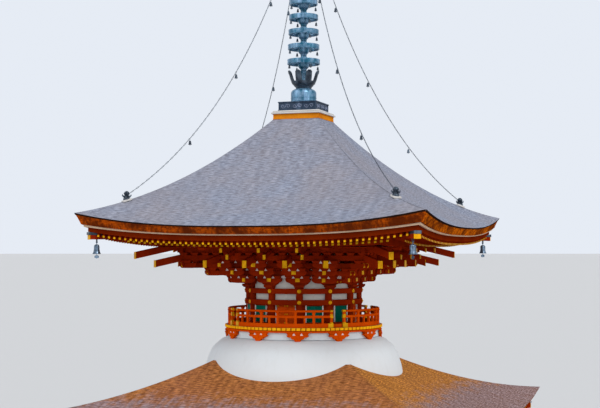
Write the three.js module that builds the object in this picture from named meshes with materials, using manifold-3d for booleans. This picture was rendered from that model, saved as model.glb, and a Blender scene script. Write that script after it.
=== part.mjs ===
// A two-storey pagoda: a square lower storey under a bark roof, a white dome on that
// roof, a round upper body with a balcony, and a square upper roof with a ringed finial.
// Millimetres, +Z up, front towards -Y, origin on the ground under the finial.

import * as THREE from "three";
import { mergeVertices } from "three/addons/utils/BufferGeometryUtils.js";
import Module from "manifold-3d";

const wasm = await Module();
wasm.setup();

// Flat faces of straight pieces touch; curved and turned ones keep this gap.
const gap = 0.3;

// Lower storey
const podiumHalf = 4600;
const podiumTop = 600;
const lowerGrid = 2900;
const lowerBay = 950;
const lowerColumnRadius = 140;
const lowerColumnTop = 3060;
const lowerWallInner = 2720;
const lowerWallOuter = 2870;
const floorTop = 660;
const doorHalf = 700;
const doorBottom = 760;
const doorTop = 2560;
const windowCentre = 1925;
const windowHalf = 600;
const windowBottom = 1600;
const windowTop = 2540;
const bandTop = 3940;

// Lower roof and its eaves
const lowerEaveHalf = 5495;
const lowerEaveTop = 3940;
const lowerEaveLift = 330;
const lowerHipTop = 5410;
const lowerHipFrom = 1860;

// Dome, drum and balcony
const domeRadius = 2660;
const domeFoot = 4040;
const drumRadius = 2020;
const drumTop = 6176;
const deckRadius = 2120;
const deckTop = 6303;
const deckThickness = 80;
const railRadius = 2010;

// Round upper body
const columnCircle = 1477;
const columnRadius = 90;
const wallInner = 1350;
const wallOuter = 1440;
const beamOuter = 1550;
const lowerBeamBottom = 6856;
const upperBeamBottom = 7149;
const frameTop = 7284;
const coreOuter = 1500;
const coreTop = 8960;

// Upper brackets: heights and reaches of the four steps
const tierBottom = 7424;
const tierPitch = 199;
const armHeight = 130;
const armWidth = 110;
const cornerArmWidth = 150;
const sideReach = [1620, 2040, 2500];
const cornerReach = [1480, 2000, 2500];

// Upper roof and its eaves
const upperEaveHalf = 4500;
const upperEaveTop = 8858;
const upperEaveLift = 351;
const upperRoofTop = 11787;
const upperHipFrom = 642;
const barkUndersideHalf = 4370;

// Finial
const roofCapTop = 12020;
const basinTop = 12270;
const bowlTop = 12670;
const lotusTop = 13140;
const ringCount = 9;
const firstRing = 13390;
const ringPitch = 406;
const firstRingRadius = 447;
const ringTaper = 16;
const mastRadius = 55;
const mastTop = 17160;
const finialTop = 17820;
const chainTop = 17260;
const chainRadius = 14;
const anchorHalf = 3530;

// Wind bells under the upper roof's corners
const bellHalf = 4080;
const pinHeight = 8480;
const pinRadius = 8;
const lugHole = 8.6;

const finish = {
  bark: [0x8f929c, 0.95, 0],
  lowerBark: [0xa07a5c, 0.95, 0],
  red: [0xb23a1e, 0.6, 0],
  deepRed: [0x8c2a16, 0.65, 0],
  white: [0xd8dadb, 0.9, 0],
  stone: [0x9a978f, 0.95, 0],
  timber: [0x8a6a48, 0.85, 0],
  orange: [0xb66a1c, 0.7, 0],
  copper: [0x4f6b74, 0.5, 0.8],
  bronze: [0x3f4a4a, 0.45, 0.85],
};

// Geometry helpers

function bare(geometry) {
  const copy = new THREE.BufferGeometry();
  copy.setAttribute("position", geometry.attributes.position.clone());
  if (geometry.index) copy.setIndex(geometry.index.clone());
  return mergeVertices(copy, 1e-3);
}

function signedVolume(position, index) {
  const a = new THREE.Vector3();
  const b = new THREE.Vector3();
  const c = new THREE.Vector3();
  let sum = 0;
  for (let i = 0; i < index.length; i += 3) {
    a.fromArray(position, 3 * index[i]);
    b.fromArray(position, 3 * index[i + 1]);
    c.fromArray(position, 3 * index[i + 2]);
    sum += a.dot(b.cross(c));
  }
  return sum;
}

function toSolid(geometry) {
  const merged = bare(geometry);
  const position = merged.attributes.position.array;
  const index = [];
  const source = merged.index.array;
  for (let i = 0; i < source.length; i += 3) {
    const [a, b, c] = [source[i], source[i + 1], source[i + 2]];
    if (a !== b && b !== c && c !== a) index.push(a, b, c);
  }
  if (signedVolume(position, index) < 0) {
    for (let i = 0; i < index.length; i += 3) {
      const kept = index[i];
      index[i] = index[i + 1];
      index[i + 1] = kept;
    }
  }
  const triVerts = Uint32Array.from(index);
  const mesh = new wasm.Mesh({ numProp: 3, vertProperties: position, triVerts });
  return new wasm.Manifold(mesh);
}

function toGeometry(solid) {
  const mesh = solid.getMesh();
  const count = mesh.vertProperties.length / mesh.numProp;
  const position = new Float32Array(3 * count);
  for (let i = 0; i < count; i++) {
    const at = i * mesh.numProp;
    position.set(mesh.vertProperties.subarray(at, at + 3), 3 * i);
  }
  const geometry = new THREE.BufferGeometry();
  geometry.setAttribute("position", new THREE.BufferAttribute(position, 3));
  geometry.setIndex(new THREE.BufferAttribute(mesh.triVerts.slice(), 1));
  return geometry;
}

const join = (solids) => solids.reduce((sum, next) => sum.add(next));
const cut = (solid, tools) => tools.reduce((left, tool) => left.subtract(tool), solid);

// Turns a solid by exact quarter turns about the vertical axis.
function quarter(solid, turns) {
  const geometry = toGeometry(solid);
  const position = geometry.attributes.position;
  for (let turn = 0; turn < turns; turn++) {
    for (let i = 0; i < position.count; i++) {
      position.setXY(i, -position.getY(i), position.getX(i));
    }
  }
  return toSolid(geometry);
}

const fourTimes = (solid) => join([0, 1, 2, 3].map((turns) => quarter(solid, turns)));

function block(x0, x1, y0, y1, z0, z1) {
  const geometry = new THREE.BoxGeometry(x1 - x0, y1 - y0, z1 - z0);
  geometry.translate((x0 + x1) / 2, (y0 + y1) / 2, (z0 + z1) / 2);
  return toSolid(geometry);
}

function outline(points) {
  return new THREE.Shape(points.map(([x, y]) => new THREE.Vector2(x, y)));
}

// A flat outline in plan, raised from one height to another.
function prism(points, bottom, top) {
  const options = { depth: top - bottom, bevelEnabled: false };
  const geometry = new THREE.ExtrudeGeometry(outline(points), options);
  return toSolid(geometry.translate(0, 0, bottom));
}

// A side outline (reach, height), given a width across, pointing along an angle in plan.
function arm(points, width, angle, fromX = 0, fromY = 0) {
  const options = { depth: width, bevelEnabled: false };
  const geometry = new THREE.ExtrudeGeometry(outline(points), options);
  geometry.translate(0, 0, -width / 2);
  const reach = new THREE.Vector3(Math.cos(angle), Math.sin(angle), 0);
  const across = new THREE.Vector3(Math.sin(angle), -Math.cos(angle), 0);
  const basis = new THREE.Matrix4().makeBasis(reach, new THREE.Vector3(0, 0, 1), across);
  geometry.applyMatrix4(basis.setPosition(fromX, fromY, 0));
  return toSolid(geometry);
}

function beamSide(from, to, bottom, top) {
  const corner = [from, bottom];
  return [corner, [to, bottom], [to, top], [from, top]];
}

function turned(profile, segments, centreX = 0, centreY = 0, startAngle = 0) {
  const points = profile.map(([r, z]) => new THREE.Vector2(r, z));
  const geometry = new THREE.LatheGeometry(points, segments, startAngle);
  geometry.rotateX(Math.PI / 2);
  return toSolid(geometry.translate(centreX, centreY, 0));
}

function tube(outer, inner, bottom, top, segments) {
  const profile = [
    [inner, bottom],
    [outer, bottom],
    [outer, top],
    [inner, top],
    [inner, bottom],
  ];
  return turned(profile, segments);
}

function rod(radius, bottom, top, segments, x = 0, y = 0) {
  const profile = [
    [0, bottom],
    [radius, bottom],
    [radius, top],
    [0, top],
  ];
  return turned(profile, segments, x, y);
}

const degrees = (value) => (value * Math.PI) / 180;

// A curved bar in plan between two angles, in straight steps.
function arcBar(outer, inner, fromDegrees, toDegrees, bottom, top, steps) {
  const points = [];
  for (let i = 0; i <= steps; i++) {
    const angle = degrees(fromDegrees + ((toDegrees - fromDegrees) * i) / steps);
    points.push([outer * Math.cos(angle), outer * Math.sin(angle)]);
  }
  for (let i = steps; i >= 0; i--) {
    const angle = degrees(fromDegrees + ((toDegrees - fromDegrees) * i) / steps);
    points.push([inner * Math.cos(angle), inner * Math.sin(angle)]);
  }
  return prism(points, bottom, top);
}

// Where a side is divided, as shares of its half width, closer near the corners.
const stations = [-1, -0.86, -0.6, 0, 0.6, 0.86];
const upturn = (share) => Math.pow(Math.abs(share), 2.6);

// A square form made of level or upturned rings. Each ring has a half width and a height
// that may vary along its sides. The rings close on each other, or on the axis.
function squareForm(rings, closesOnItself = true) {
  const perRing = 4 * stations.length;
  const position = [];
  for (const { half, height } of rings) {
    for (let side = 0; side < 4; side++) {
      for (const share of stations) {
        let [x, y] = [share * half, -half];
        for (let turn = 0; turn < side; turn++) [x, y] = [-y, x];
        position.push(x, y, height(share));
      }
    }
  }
  const index = [];
  const bands = closesOnItself ? rings.length : rings.length - 1;
  for (let band = 0; band < bands; band++) {
    const after = (band + 1) % rings.length;
    const low = band * perRing;
    const high = after * perRing;
    const widens = rings[band].half <= rings[after].half;
    for (let i = 0; i < perRing; i++) {
      const next = (i + 1) % perRing;
      if (widens) {
        index.push(low + i, low + next, high + next);
        index.push(low + i, high + next, high + i);
      } else {
        index.push(low + i, low + next, high + i);
        index.push(low + next, high + next, high + i);
      }
    }
  }
  if (!closesOnItself) {
    const last = rings.length - 1;
    const first = position.length / 3;
    position.push(0, 0, rings[0].height(0), 0, 0, rings[last].height(0));
    for (let i = 0; i < perRing; i++) {
      const next = (i + 1) % perRing;
      index.push(first, next, i);
      index.push(first + 1, last * perRing + i, last * perRing + next);
    }
  }
  const geometry = new THREE.BufferGeometry();
  const array = new Float32Array(position);
  geometry.setAttribute("position", new THREE.BufferAttribute(array, 3));
  geometry.setIndex(index);
  return toSolid(geometry);
}

const ring = (half, base, lift = 0) => ({
  half,
  height: (share) => base + lift * upturn(share),
});

function squareRing(inner, outer, bottom, top) {
  return squareForm([ring(inner, bottom), ring(outer, bottom), ring(outer, top), ring(inner, top)]);
}

// Ground storey

function podium() {
  const body = block(-podiumHalf, podiumHalf, -podiumHalf, podiumHalf, 0, podiumTop - 120);
  const half = podiumHalf + 60;
  const cap = block(-half, half, -half, half, podiumTop - 120, podiumTop);
  return body.add(cap);
}

function frontSteps() {
  const front = -podiumHalf - 60;
  const treads = [
    block(-900, 900, front - 780, front, 0, 150),
    block(-900, 900, front - 520, front, 150, 300),
    block(-900, 900, front - 260, front, 300, 450),
  ];
  const cheek = [
    [0, 0],
    [820, 0],
    [820, 170],
    [260, podiumTop],
    [0, podiumTop],
  ];
  const cheeks = [-1000, 1000].map((x) => arm(cheek, 200, -Math.PI / 2, x, front));
  return join([...treads, ...cheeks]);
}

const groundFloor = () =>
  block(-lowerWallInner, lowerWallInner, -lowerWallInner, lowerWallInner, podiumTop, floorTop);

function lowerColumnPlaces() {
  const places = [];
  for (const x of [-lowerGrid, -lowerBay, lowerBay, lowerGrid]) {
    places.push([x, -lowerGrid], [x, lowerGrid]);
  }
  for (const y of [-lowerBay, lowerBay]) places.push([-lowerGrid, y], [lowerGrid, y]);
  return places;
}

const lowerColumns = (radius) =>
  lowerColumnPlaces().map(([x, y]) => rod(radius, podiumTop, lowerColumnTop, 8, x, y));

function lowerFrame() {
  const outer = 3020;
  const sill = squareRing(lowerWallOuter, outer, podiumTop, doorBottom);
  const head = squareRing(lowerWallOuter, outer, 2600, 2760);
  const plate = squareRing(lowerWallOuter, outer + 30, 2940, lowerColumnTop);
  return join([...lowerColumns(lowerColumnRadius), sill, head, plate]);
}

function lowerWall(reach) {
  const panel = block(-reach, reach, -lowerWallOuter, -lowerWallInner, podiumTop, lowerColumnTop);
  const through = [-lowerWallOuter - 10, -lowerWallInner + 10];
  const openings = [
    block(-doorHalf, doorHalf, ...through, doorBottom, doorTop),
    ...[-windowCentre, windowCentre].map((x) =>
      block(x - windowHalf, x + windowHalf, ...through, windowBottom, windowTop),
    ),
  ];
  return cut(panel, [...openings, ...lowerColumns(lowerColumnRadius + gap)]);
}

// Two closed leaves that meet under a cover strip.
function doorPair(half, front, back, bottom, top) {
  const leaves = block(-half, half, -front, -back, bottom, top);
  return leaves.add(block(-30, 30, -front - 15, -front, bottom, top));
}

const lowerDoors = () => doorPair(doorHalf, 2820, 2760, doorBottom, doorTop);

const lowerWallBand = () => squareRing(2840, 2920, lowerColumnTop, bandTop);

// Lower eaves: a board slab with two tiers of rafters, its edge boards and the bark

const lowerLift = (half) => 250 * Math.max(0, (half - 2600) / 2700) ** 2;
const lowerSoftRing = (half, base) => ring(half, base, lowerLift(half));
const lowerRafterUnder = (half) => 3425 + (4620 - half) * 0.3;
const lowerPurlinTop = lowerRafterUnder(3425) - gap;

// An arm with three bearing blocks, seen from the front, centred on x.
function threeBlockArm(x, half, bottom, top) {
  const rise = top - bottom;
  const shape = [
    [half, top],
    [-half, top],
    [-half, bottom + rise * 0.6],
    [-half * 0.86, bottom + rise * 0.25],
    [-half * 0.6, bottom],
    [half * 0.6, bottom],
    [half * 0.86, bottom + rise * 0.25],
    [half, bottom + rise * 0.6],
  ];
  return shape.map(([dx, z]) => [x + dx, z]);
}

function lowerBrackets() {
  const foot = 2920 + gap;
  const side = (start, scale) =>
    [
      [3060, lowerColumnTop],
      [3060, 3200],
      [3370, 3200],
      [3420, 3250],
      [3420, 3400],
      [3440, 3400],
      [3440, 3600],
      [start, 3600],
      [start, lowerColumnTop],
    ].map(([reach, z]) => [reach * scale, z]);
  const sets = [-lowerBay, lowerBay].map((x) => {
    const out = arm(side(foot, 1), 130, -Math.PI / 2, x, 0);
    const across = arm(threeBlockArm(x, 420, 3400, 3600), 110, 0, 0, -3355);
    return out.add(across);
  });
  const corner = arm(side(foot + 1, Math.SQRT2), 150, -Math.PI / 4);
  const purlin = squareForm([
    { half: 3275, height: () => 3600 },
    { half: 3425, height: () => 3600 },
    ring(3425, lowerPurlinTop, lowerLift(3425)),
    ring(3275, lowerPurlinTop, lowerLift(3275)),
  ]);
  const cutPurlin = purlin.subtract(lowerHipBeams(2 * gap, gap));
  return fourTimes(join([...sets, corner])).add(cutPurlin);
}

function lowerRafters() {
  const slab = squareForm(
    [
      ring(2600, bandTop),
      ring(2960, bandTop),
      lowerSoftRing(3275, lowerRafterUnder(3275)),
      lowerSoftRing(3425, lowerRafterUnder(3425)),
      lowerSoftRing(4620, 3425),
      lowerSoftRing(4620, 3525),
      lowerSoftRing(4580, 3640),
      lowerSoftRing(5180, 3520),
      lowerSoftRing(5180, 3610),
      lowerSoftRing(5100, 3610),
      lowerSoftRing(4330, 3790),
      ring(2960, bandTop + 100),
      ring(2600, bandTop + 100),
    ],
    false,
  );
  return slab.add(lowerHipBeams());
}

function lowerHipBeams(extraWidth = 0, drop = 0) {
  const side = [
    [3000, 3935],
    [3425, 3720],
    [4620, 3540],
    [5210, 3660],
    [5210, 3820],
    [4620, 3740],
    [3000, 4010],
  ];
  const points = side.map(([half, z]) => [half * Math.SQRT2, z - drop]);
  return fourTimes(arm(points, 180 + extraWidth, -Math.PI / 4));
}

function lowerEaveBoard() {
  return squareForm([
    lowerSoftRing(5100, 3610 + gap),
    lowerSoftRing(5180, 3610 + gap),
    lowerSoftRing(5220, 3610 + gap),
    lowerSoftRing(5220, 3735),
    lowerSoftRing(5300, 3735),
    lowerSoftRing(5300, 3765),
    lowerSoftRing(5100, 3765),
  ]);
}

function hipCurve(half, top, from, steep, bend) {
  const run = half - from;
  return top - steep * run + bend * run * run;
}

const lowerHip = (half) => hipCurve(half, lowerHipTop, lowerHipFrom, 0.5543, 0.0000647);
const lowerRoofLift = (half) => lowerEaveLift * (Math.max(0, half - 2000) / 3495) ** 2;

function lowerRoof() {
  const outside = [1860, 2300, 2900, 3600, 4300, 5000, lowerEaveHalf].map((half) =>
    ring(half, lowerHip(half) - lowerRoofLift(half), lowerRoofLift(half)),
  );
  const inside = [4600, 3900, 3000, 2200, 1860].map((half) =>
    ring(half, lowerHip(half) - lowerRoofLift(half) - 170, lowerRoofLift(half)),
  );
  const shell = squareForm([
    ...outside,
    lowerSoftRing(5370, 3765 + gap),
    lowerSoftRing(5300, 3765 + gap),
    lowerSoftRing(5100, 3765 + gap),
    ...inside,
  ]);
  return shell.subtract(rod(domeRadius + gap, 3000, 6500, 32));
}

// Dome, drum and balcony

function dome() {
  const profile = [
    [domeRadius - 120, domeFoot],
    [domeRadius, domeFoot],
    [domeRadius, 5010],
    [2590, 5350],
    [2465, 5661],
    [2295, 5832],
    [2180, 5915],
    [2070, 5968],
    [1900, 5990],
    [1900, 5890],
    [2180, 5780],
    [domeRadius - 120, 5010],
    [domeRadius - 120, domeFoot],
  ];
  return turned(profile, 32);
}

const neckDrum = () => tube(drumRadius, 1900, 5990 + gap, drumTop, 24);

function balconyBrackets() {
  const ledge = tube(2090, 1900, drumTop, deckTop - deckThickness, 24);
  const shape = [
    [80, 5988],
    [190, 6060],
    [230, 6110],
    [230, drumTop + 20],
    [-230, drumTop + 20],
    [-230, 6110],
    [-190, 6060],
    [-80, 5988],
  ];
  const sets = [];
  for (let i = 0; i < 12; i++) {
    const angle = degrees(15 + 30 * i);
    const [x, y] = [2050 * Math.cos(angle), 2050 * Math.sin(angle)];
    sets.push(arm(shape, 110, angle + Math.PI / 2, x, y));
  }
  return join([ledge, ...sets]).subtract(domeSeat());
}

// The space that the dome and the drum fill, with the gap to what stands against them.
function domeSeat() {
  const profile = [
    [0, 5900],
    [2180 + gap, 5915 + gap],
    [2070 + gap, 5968 + gap],
    [drumRadius + gap, 5990],
    [drumRadius + gap, drumTop],
    [0, drumTop],
  ];
  return turned(profile, 24);
}

const balconyDeck = () => tube(deckRadius, 1250, deckTop - deckThickness, deckTop, 36);

function balconyRailing() {
  const pieces = [tube(railRadius + 30, railRadius - 30, deckTop, deckTop + 110, 24)];
  pieces.push(tube(railRadius + 30, railRadius - 22, 6558, 6610, 24));
  pieces.push(tube(railRadius + 32, railRadius - 32, 6700, 6753, 24));
  for (let side = 0; side < 4; side++) {
    for (let i = -6; i <= 6; i += 4) {
      const angle = degrees(90 * side + 6.63 * i);
      const post = beamSide(railRadius - 28, railRadius + 12, deckTop + 50, 6725);
      pieces.push(arm(post, 64, angle));
    }
  }
  return join(pieces);
}

// Round upper body

function columnsAt(radius, bottom, top, segments) {
  const columns = [];
  for (let i = 0; i < 12; i++) {
    const angle = degrees(15 + 30 * i);
    const [x, y] = [columnCircle * Math.cos(angle), columnCircle * Math.sin(angle)];
    columns.push(rod(radius, bottom, top, segments, x, y));
  }
  return columns;
}

function upperFrame() {
  const lowBeam = tube(beamOuter, wallOuter + gap, lowerBeamBottom, lowerBeamBottom + 137, 24);
  const highBeam = tube(beamOuter, wallOuter + gap, upperBeamBottom, frameTop, 24);
  return join([...columnsAt(columnRadius, deckTop, frameTop, 8), lowBeam, highBeam]);
}

// A quarter of the round wall, with its ends clear of the next one.
function upperWall() {
  const clear = 0.2;
  const angles = [-135, -120, -105, -90, -75, -60, -45].map(degrees);
  const onCircle = (radius) => angles.map((a) => [radius * Math.cos(a), radius * Math.sin(a)]);
  const inner = onCircle(wallInner).reverse();
  const points = [...onCircle(wallOuter), ...inner].map(([x, y]) => [x, y - clear]);
  const segment = prism(points, deckTop, frameTop);
  const openings = [block(-255, 255, -1600, -1200, deckTop + 70, lowerBeamBottom)];
  for (const side of [-1, 1]) {
    const opening = [
      [1200, deckTop + 180],
      [1600, deckTop + 180],
      [1600, lowerBeamBottom],
      [1200, lowerBeamBottom],
    ];
    openings.push(arm(opening, 400, degrees(-90 + 30 * side)));
  }
  return cut(segment, [...openings, ...columnsAt(columnRadius + gap, 6000, 8000, 8)]);
}

const upperDoors = () => doorPair(255, 1380, 1345, deckTop + 70, lowerBeamBottom);

const bracketCore = () => tube(coreOuter, wallOuter, frameTop, coreTop, 24);

// Upper brackets

const tierLevel = (tier) => tierBottom + tierPitch * tier;
const tailSlope = 0.3;

// The side of a stack: a bearing block, three stepped arms and two sloping tail beams.
function stackSide(start, reaches, lowTail, highTail, seat) {
  const points = [
    [start, frameTop],
    [reaches[0] - 70, frameTop],
    [reaches[0] - 70, tierBottom],
  ];
  reaches.forEach((reach, tier) => {
    points.push([reach, tierLevel(tier)]);
    if (tier < 2) points.push([reach, tierLevel(tier + 1)]);
  });
  const lastReach = reaches[2];
  points.push([lastReach, 7843 + (lowTail - lastReach) * tailSlope]);
  points.push([lowTail, 7843], [lowTail, 8018]);
  points.push([lowTail - 90, 8045], [lowTail - 90, 8061 + (highTail - lowTail + 90) * tailSlope]);
  points.push([highTail, 8061], [highTail, 8235]);
  points.push([3110, 8235 + (highTail - 3110) * tailSlope]);
  points.push([3110, seat], [2990, seat]);
  points.push([2990, 8235 + (highTail - 2990) * tailSlope]);
  points.push([start, 8235 + (highTail - start) * tailSlope]);
  return points;
}

// A stack leans outwards in plan. Reaches are measured square to the face.
function leaningStack(startX, lean, start) {
  const stretch = Math.sqrt(1 + lean * lean);
  const side = stackSide(start, sideReach, 2980, 3200, purlinBottom - gap);
  const points = side.map(([reach, z]) => [reach * stretch, z]);
  const angle = -Math.PI / 2 + Math.atan(lean);
  return arm(points, armWidth, angle, startX - lean * sideReach[0], 0);
}

function sideBrackets() {
  const pieces = [];
  for (const side of [-1, 1]) {
    pieces.push(leaningStack(395 * side, 0.105 * side, 1464));
    pieces.push(leaningStack(1118 * side, 0.364 * side, 1230));
  }
  sideReach.forEach((reach, tier) => {
    const bottom = tierLevel(tier + 1);
    pieces.push(block(-3000, 3000, -reach + 10, -reach + 110, bottom, bottom + armHeight));
  });
  const wedge = prism(
    [
      [0, -107],
      [3800, -3907],
      [-3800, -3907],
    ],
    7000,
    9200,
  );
  return join(pieces).intersect(wedge);
}

function cornerBrackets() {
  const start = (coreOuter + gap) / Math.SQRT2;
  const side = stackSide(start, cornerReach, 3000, 3375, 8440);
  const points = side.map(([reach, z]) => [reach * Math.SQRT2, z]);
  const solid = arm(points, cornerArmWidth, -Math.PI / 4);
  return solid.subtract(hipBeams(2 * gap, gap)).subtract(purlinSpace());
}

// Upper eaves

const upperLift = (half) => 257 * Math.max(0, (half - 1700) / 2620) ** 2;
const upperSoftRing = (half, base) => ring(half, base, upperLift(half));
const upperRafterUnder = (half) => 8362 + (3720 - half) * 0.3;

function hipBeams(extraWidth = 0, drop = 0) {
  const side = [
    [1600, 8900],
    [3050, 8570],
    [4230, 8550],
    [4230, 8712],
    [3720, 8640],
    [1600, 8990],
  ];
  const points = side.map(([half, z]) => [half * Math.SQRT2, z - drop]);
  return fourTimes(arm(points, 180 + extraWidth, -Math.PI / 4));
}

const purlinBottom = 8350;

function purlinForm(margin) {
  const top = (half) => upperRafterUnder(half) - gap + margin;
  return squareForm([
    upperSoftRing(2975 - margin, purlinBottom - margin),
    upperSoftRing(3125 + margin, purlinBottom - margin),
    upperSoftRing(3125 + margin, top(3125)),
    upperSoftRing(2975 - margin, top(2975)),
  ]);
}

const upperPurlin = () => purlinForm(0).subtract(hipBeams(2 * gap, gap));
const purlinSpace = () => purlinForm(gap);

function bellHanger() {
  const centre = bellHalf * Math.SQRT2;
  const plate = (offset) => {
    const half = 12;
    const [x, y] = [offset / Math.SQRT2, offset / Math.SQRT2];
    return arm(beamSide(centre - half, centre + half, pinHeight - 16, 8600), 8, -Math.PI / 4, x, y);
  };
  const pin = new THREE.CylinderGeometry(pinRadius, pinRadius, 60, 12);
  pin.rotateZ(Math.PI / 4 - Math.PI / 2);
  pin.translate(bellHalf, -bellHalf, pinHeight);
  return join([plate(-22), plate(22), toSolid(pin)]);
}

function upperRafters() {
  const slab = squareForm([
    ring(1200, coreTop),
    ring(1700, coreTop),
    upperSoftRing(2975, upperRafterUnder(2975)),
    upperSoftRing(3125, upperRafterUnder(3125)),
    upperSoftRing(3720, 8362),
    upperSoftRing(3720, 8462),
    upperSoftRing(3680, 8527),
    upperSoftRing(4200, 8412),
    upperSoftRing(4200, 8505),
    upperSoftRing(4120, 8505),
    upperSoftRing(3420, 8680),
    ring(1700, coreTop + 100),
    ring(1200, coreTop + 100),
  ]);
  return join([slab, hipBeams(), fourTimes(bellHanger())]);
}

function upperEaveBoard() {
  return squareForm([
    upperSoftRing(4120, 8505 + gap),
    upperSoftRing(4200, 8505 + gap),
    upperSoftRing(4240, 8505 + gap),
    upperSoftRing(4240, 8635),
    upperSoftRing(4320, 8635),
    upperSoftRing(4320, 8665),
    upperSoftRing(4120, 8665),
  ]);
}

const upperHip = (half) => hipCurve(half, upperRoofTop, upperHipFrom, 1.1, 0.0001123);
const upperRoofLift = (half) => upperEaveLift * (Math.max(0, half - 1000) / 3500) ** 2;

function upperRoofRings(raise = 0) {
  const halves = [upperHipFrom, 1000, 1450, 1950, 2500, 3100, 3700, 4150, upperEaveHalf];
  const outside = halves.map((half) =>
    ring(half, upperHip(half) - upperRoofLift(half) + raise, upperRoofLift(half)),
  );
  const inside = [3700, 2900, 2100, 1350, 800].map((half) =>
    ring(half, upperHip(half) - upperRoofLift(half) - 190, upperRoofLift(half)),
  );
  const edge = [
    upperSoftRing(barkUndersideHalf, 8665 + gap),
    upperSoftRing(4320, 8665 + gap),
    upperSoftRing(4120, 8665 + gap),
  ];
  return [...outside, ...edge, ...inside];
}

const upperRoof = () => squareForm(upperRoofRings(), false);

// Finial

function roofCap() {
  const box = block(-650, 650, -650, 650, upperRoofTop, 11930);
  const slab = block(-690, 690, -690, 690, 11930, roofCapTop);
  return box.add(slab);
}

function dewBasin() {
  const box = block(-530, 530, -530, 530, roofCapTop, basinTop);
  const rim = block(-555, 555, -555, 555, basinTop - 40, basinTop);
  const foot = block(-555, 555, -555, 555, roofCapTop, roofCapTop + 40);
  return join([box, rim, foot]);
}

function invertedBowl() {
  const profile = [
    [0, basinTop],
    [375, basinTop],
    [375, basinTop + 35],
    [347, basinTop + 50],
    [347, basinTop + 220],
    [325, basinTop + 300],
    [265, basinTop + 360],
    [170, bowlTop],
    [0, bowlTop],
  ];
  return turned(profile, 20);
}

function lotus() {
  const profile = [
    [0, bowlTop],
    [200, bowlTop],
    [215, bowlTop + 60],
    [170, bowlTop + 110],
    [260, bowlTop + 200],
    [300, bowlTop + 330],
    [440, lotusTop - 30],
    [450, lotusTop - 15],
    [425, lotusTop],
    [0, lotusTop],
  ];
  return turned(profile, 16);
}

function mastAndRings() {
  const pieces = [rod(mastRadius, lotusTop, mastTop, 8)];
  for (let i = 0; i < ringCount; i++) {
    const centre = firstRing + ringPitch * i;
    const outer = firstRingRadius - ringTaper * i;
    pieces.push(tube(outer, outer - 55, centre - 65, centre + 65, 12));
    const reach = outer - 30;
    const spoke = beamSide(-reach, reach, centre - 25, centre + 25);
    pieces.push(arm(spoke, 45, degrees(i % 2 === 0 ? 45 : 135)));
  }
  return join(pieces);
}

const topCollar = (extra) => [
  [0, mastTop],
  [90 + extra, mastTop],
  [150 + extra, chainTop - 40],
  [150 + extra, chainTop + 40],
  [90 + extra, chainTop + 90],
];

function jewel() {
  const profile = [
    ...topCollar(0),
    [60, chainTop + 190],
    [130, chainTop + 260],
    [165, chainTop + 350],
    [130, chainTop + 450],
    [60, chainTop + 530],
    [0, finialTop],
  ];
  return turned(profile, 20);
}

// A hanging chain from the finial to an anchor on a hip.
function chainAndAnchor() {
  const ground = upperHip(anchorHalf);
  const path = new THREE.QuadraticBezierCurve3(
    new THREE.Vector3(105, -105, chainTop),
    new THREE.Vector3(1340, -1340, 11750),
    new THREE.Vector3(anchorHalf - 20, -anchorHalf + 20, ground + 150),
  );
  const section = outline([
    [chainRadius, 0],
    [0, chainRadius],
    [-chainRadius, 0],
    [0, -chainRadius],
  ]);
  const options = { steps: 14, extrudePath: path, bevelEnabled: false };
  const chain = toSolid(new THREE.ExtrudeGeometry(section, options));
  const foot = [
    [0, ground - 100],
    [110, ground - 100],
    [110, ground + 30],
    [60, ground + 60],
    [55, ground + 150],
    [80, ground + 190],
    [0, ground + 240],
  ];
  const anchor = turned(foot, 8, anchorHalf, -anchorHalf);
  const collar = turned([...topCollar(gap), [0, chainTop + 90]], 20);
  const roof = squareForm(upperRoofRings(gap), false);
  return chain.add(anchor).subtract(collar).subtract(roof);
}

// Wind bell: a lug on the pin, the bell's shell, and the clapper rod with its plate
function windBell() {
  const [x, y, z] = [bellHalf, -bellHalf, pinHeight];
  const lug = new THREE.CylinderGeometry(24, 24, 24, 12);
  lug.rotateZ(Math.PI / 4 - Math.PI / 2);
  lug.translate(x, y, z);
  const hole = new THREE.CylinderGeometry(lugHole, lugHole, 60, 12);
  hole.rotateZ(Math.PI / 4 - Math.PI / 2);
  hole.translate(x, y, z);
  const neck = rod(12, z - 60, z - 15, 6, x, y);
  const shell = [
    [0, z - 50],
    [60, z - 65],
    [78, z - 230],
    [98, z - 290],
    [86, z - 290],
    [52, z - 78],
    [0, z - 70],
  ];
  const bell = turned(shell, 8, x, y);
  const clapper = rod(7, z - 420, z - 60, 4, x, y);
  const plate = arm(beamSide(-60, 60, z - 400, z - 320), 8, -Math.PI / 4, x, y);
  return join([toSolid(lug), neck, bell, clapper, plate]).subtract(toSolid(hole));
}

// Assembly

const pagoda = new THREE.Group();

function place(name, solid, [color, roughness, metalness]) {
  const material = new THREE.MeshStandardMaterial({ color, roughness, metalness });
  const mesh = new THREE.Mesh(toGeometry(solid), material);
  mesh.name = name;
  pagoda.add(mesh);
}

const sides = ["front", "right", "back", "left"];
const corners = ["front_right", "back_right", "back_left", "front_left"];

function placeAround(prefix, names, solid, look) {
  names.forEach((name, turns) => place(prefix + name, quarter(solid, turns), look));
}

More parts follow.
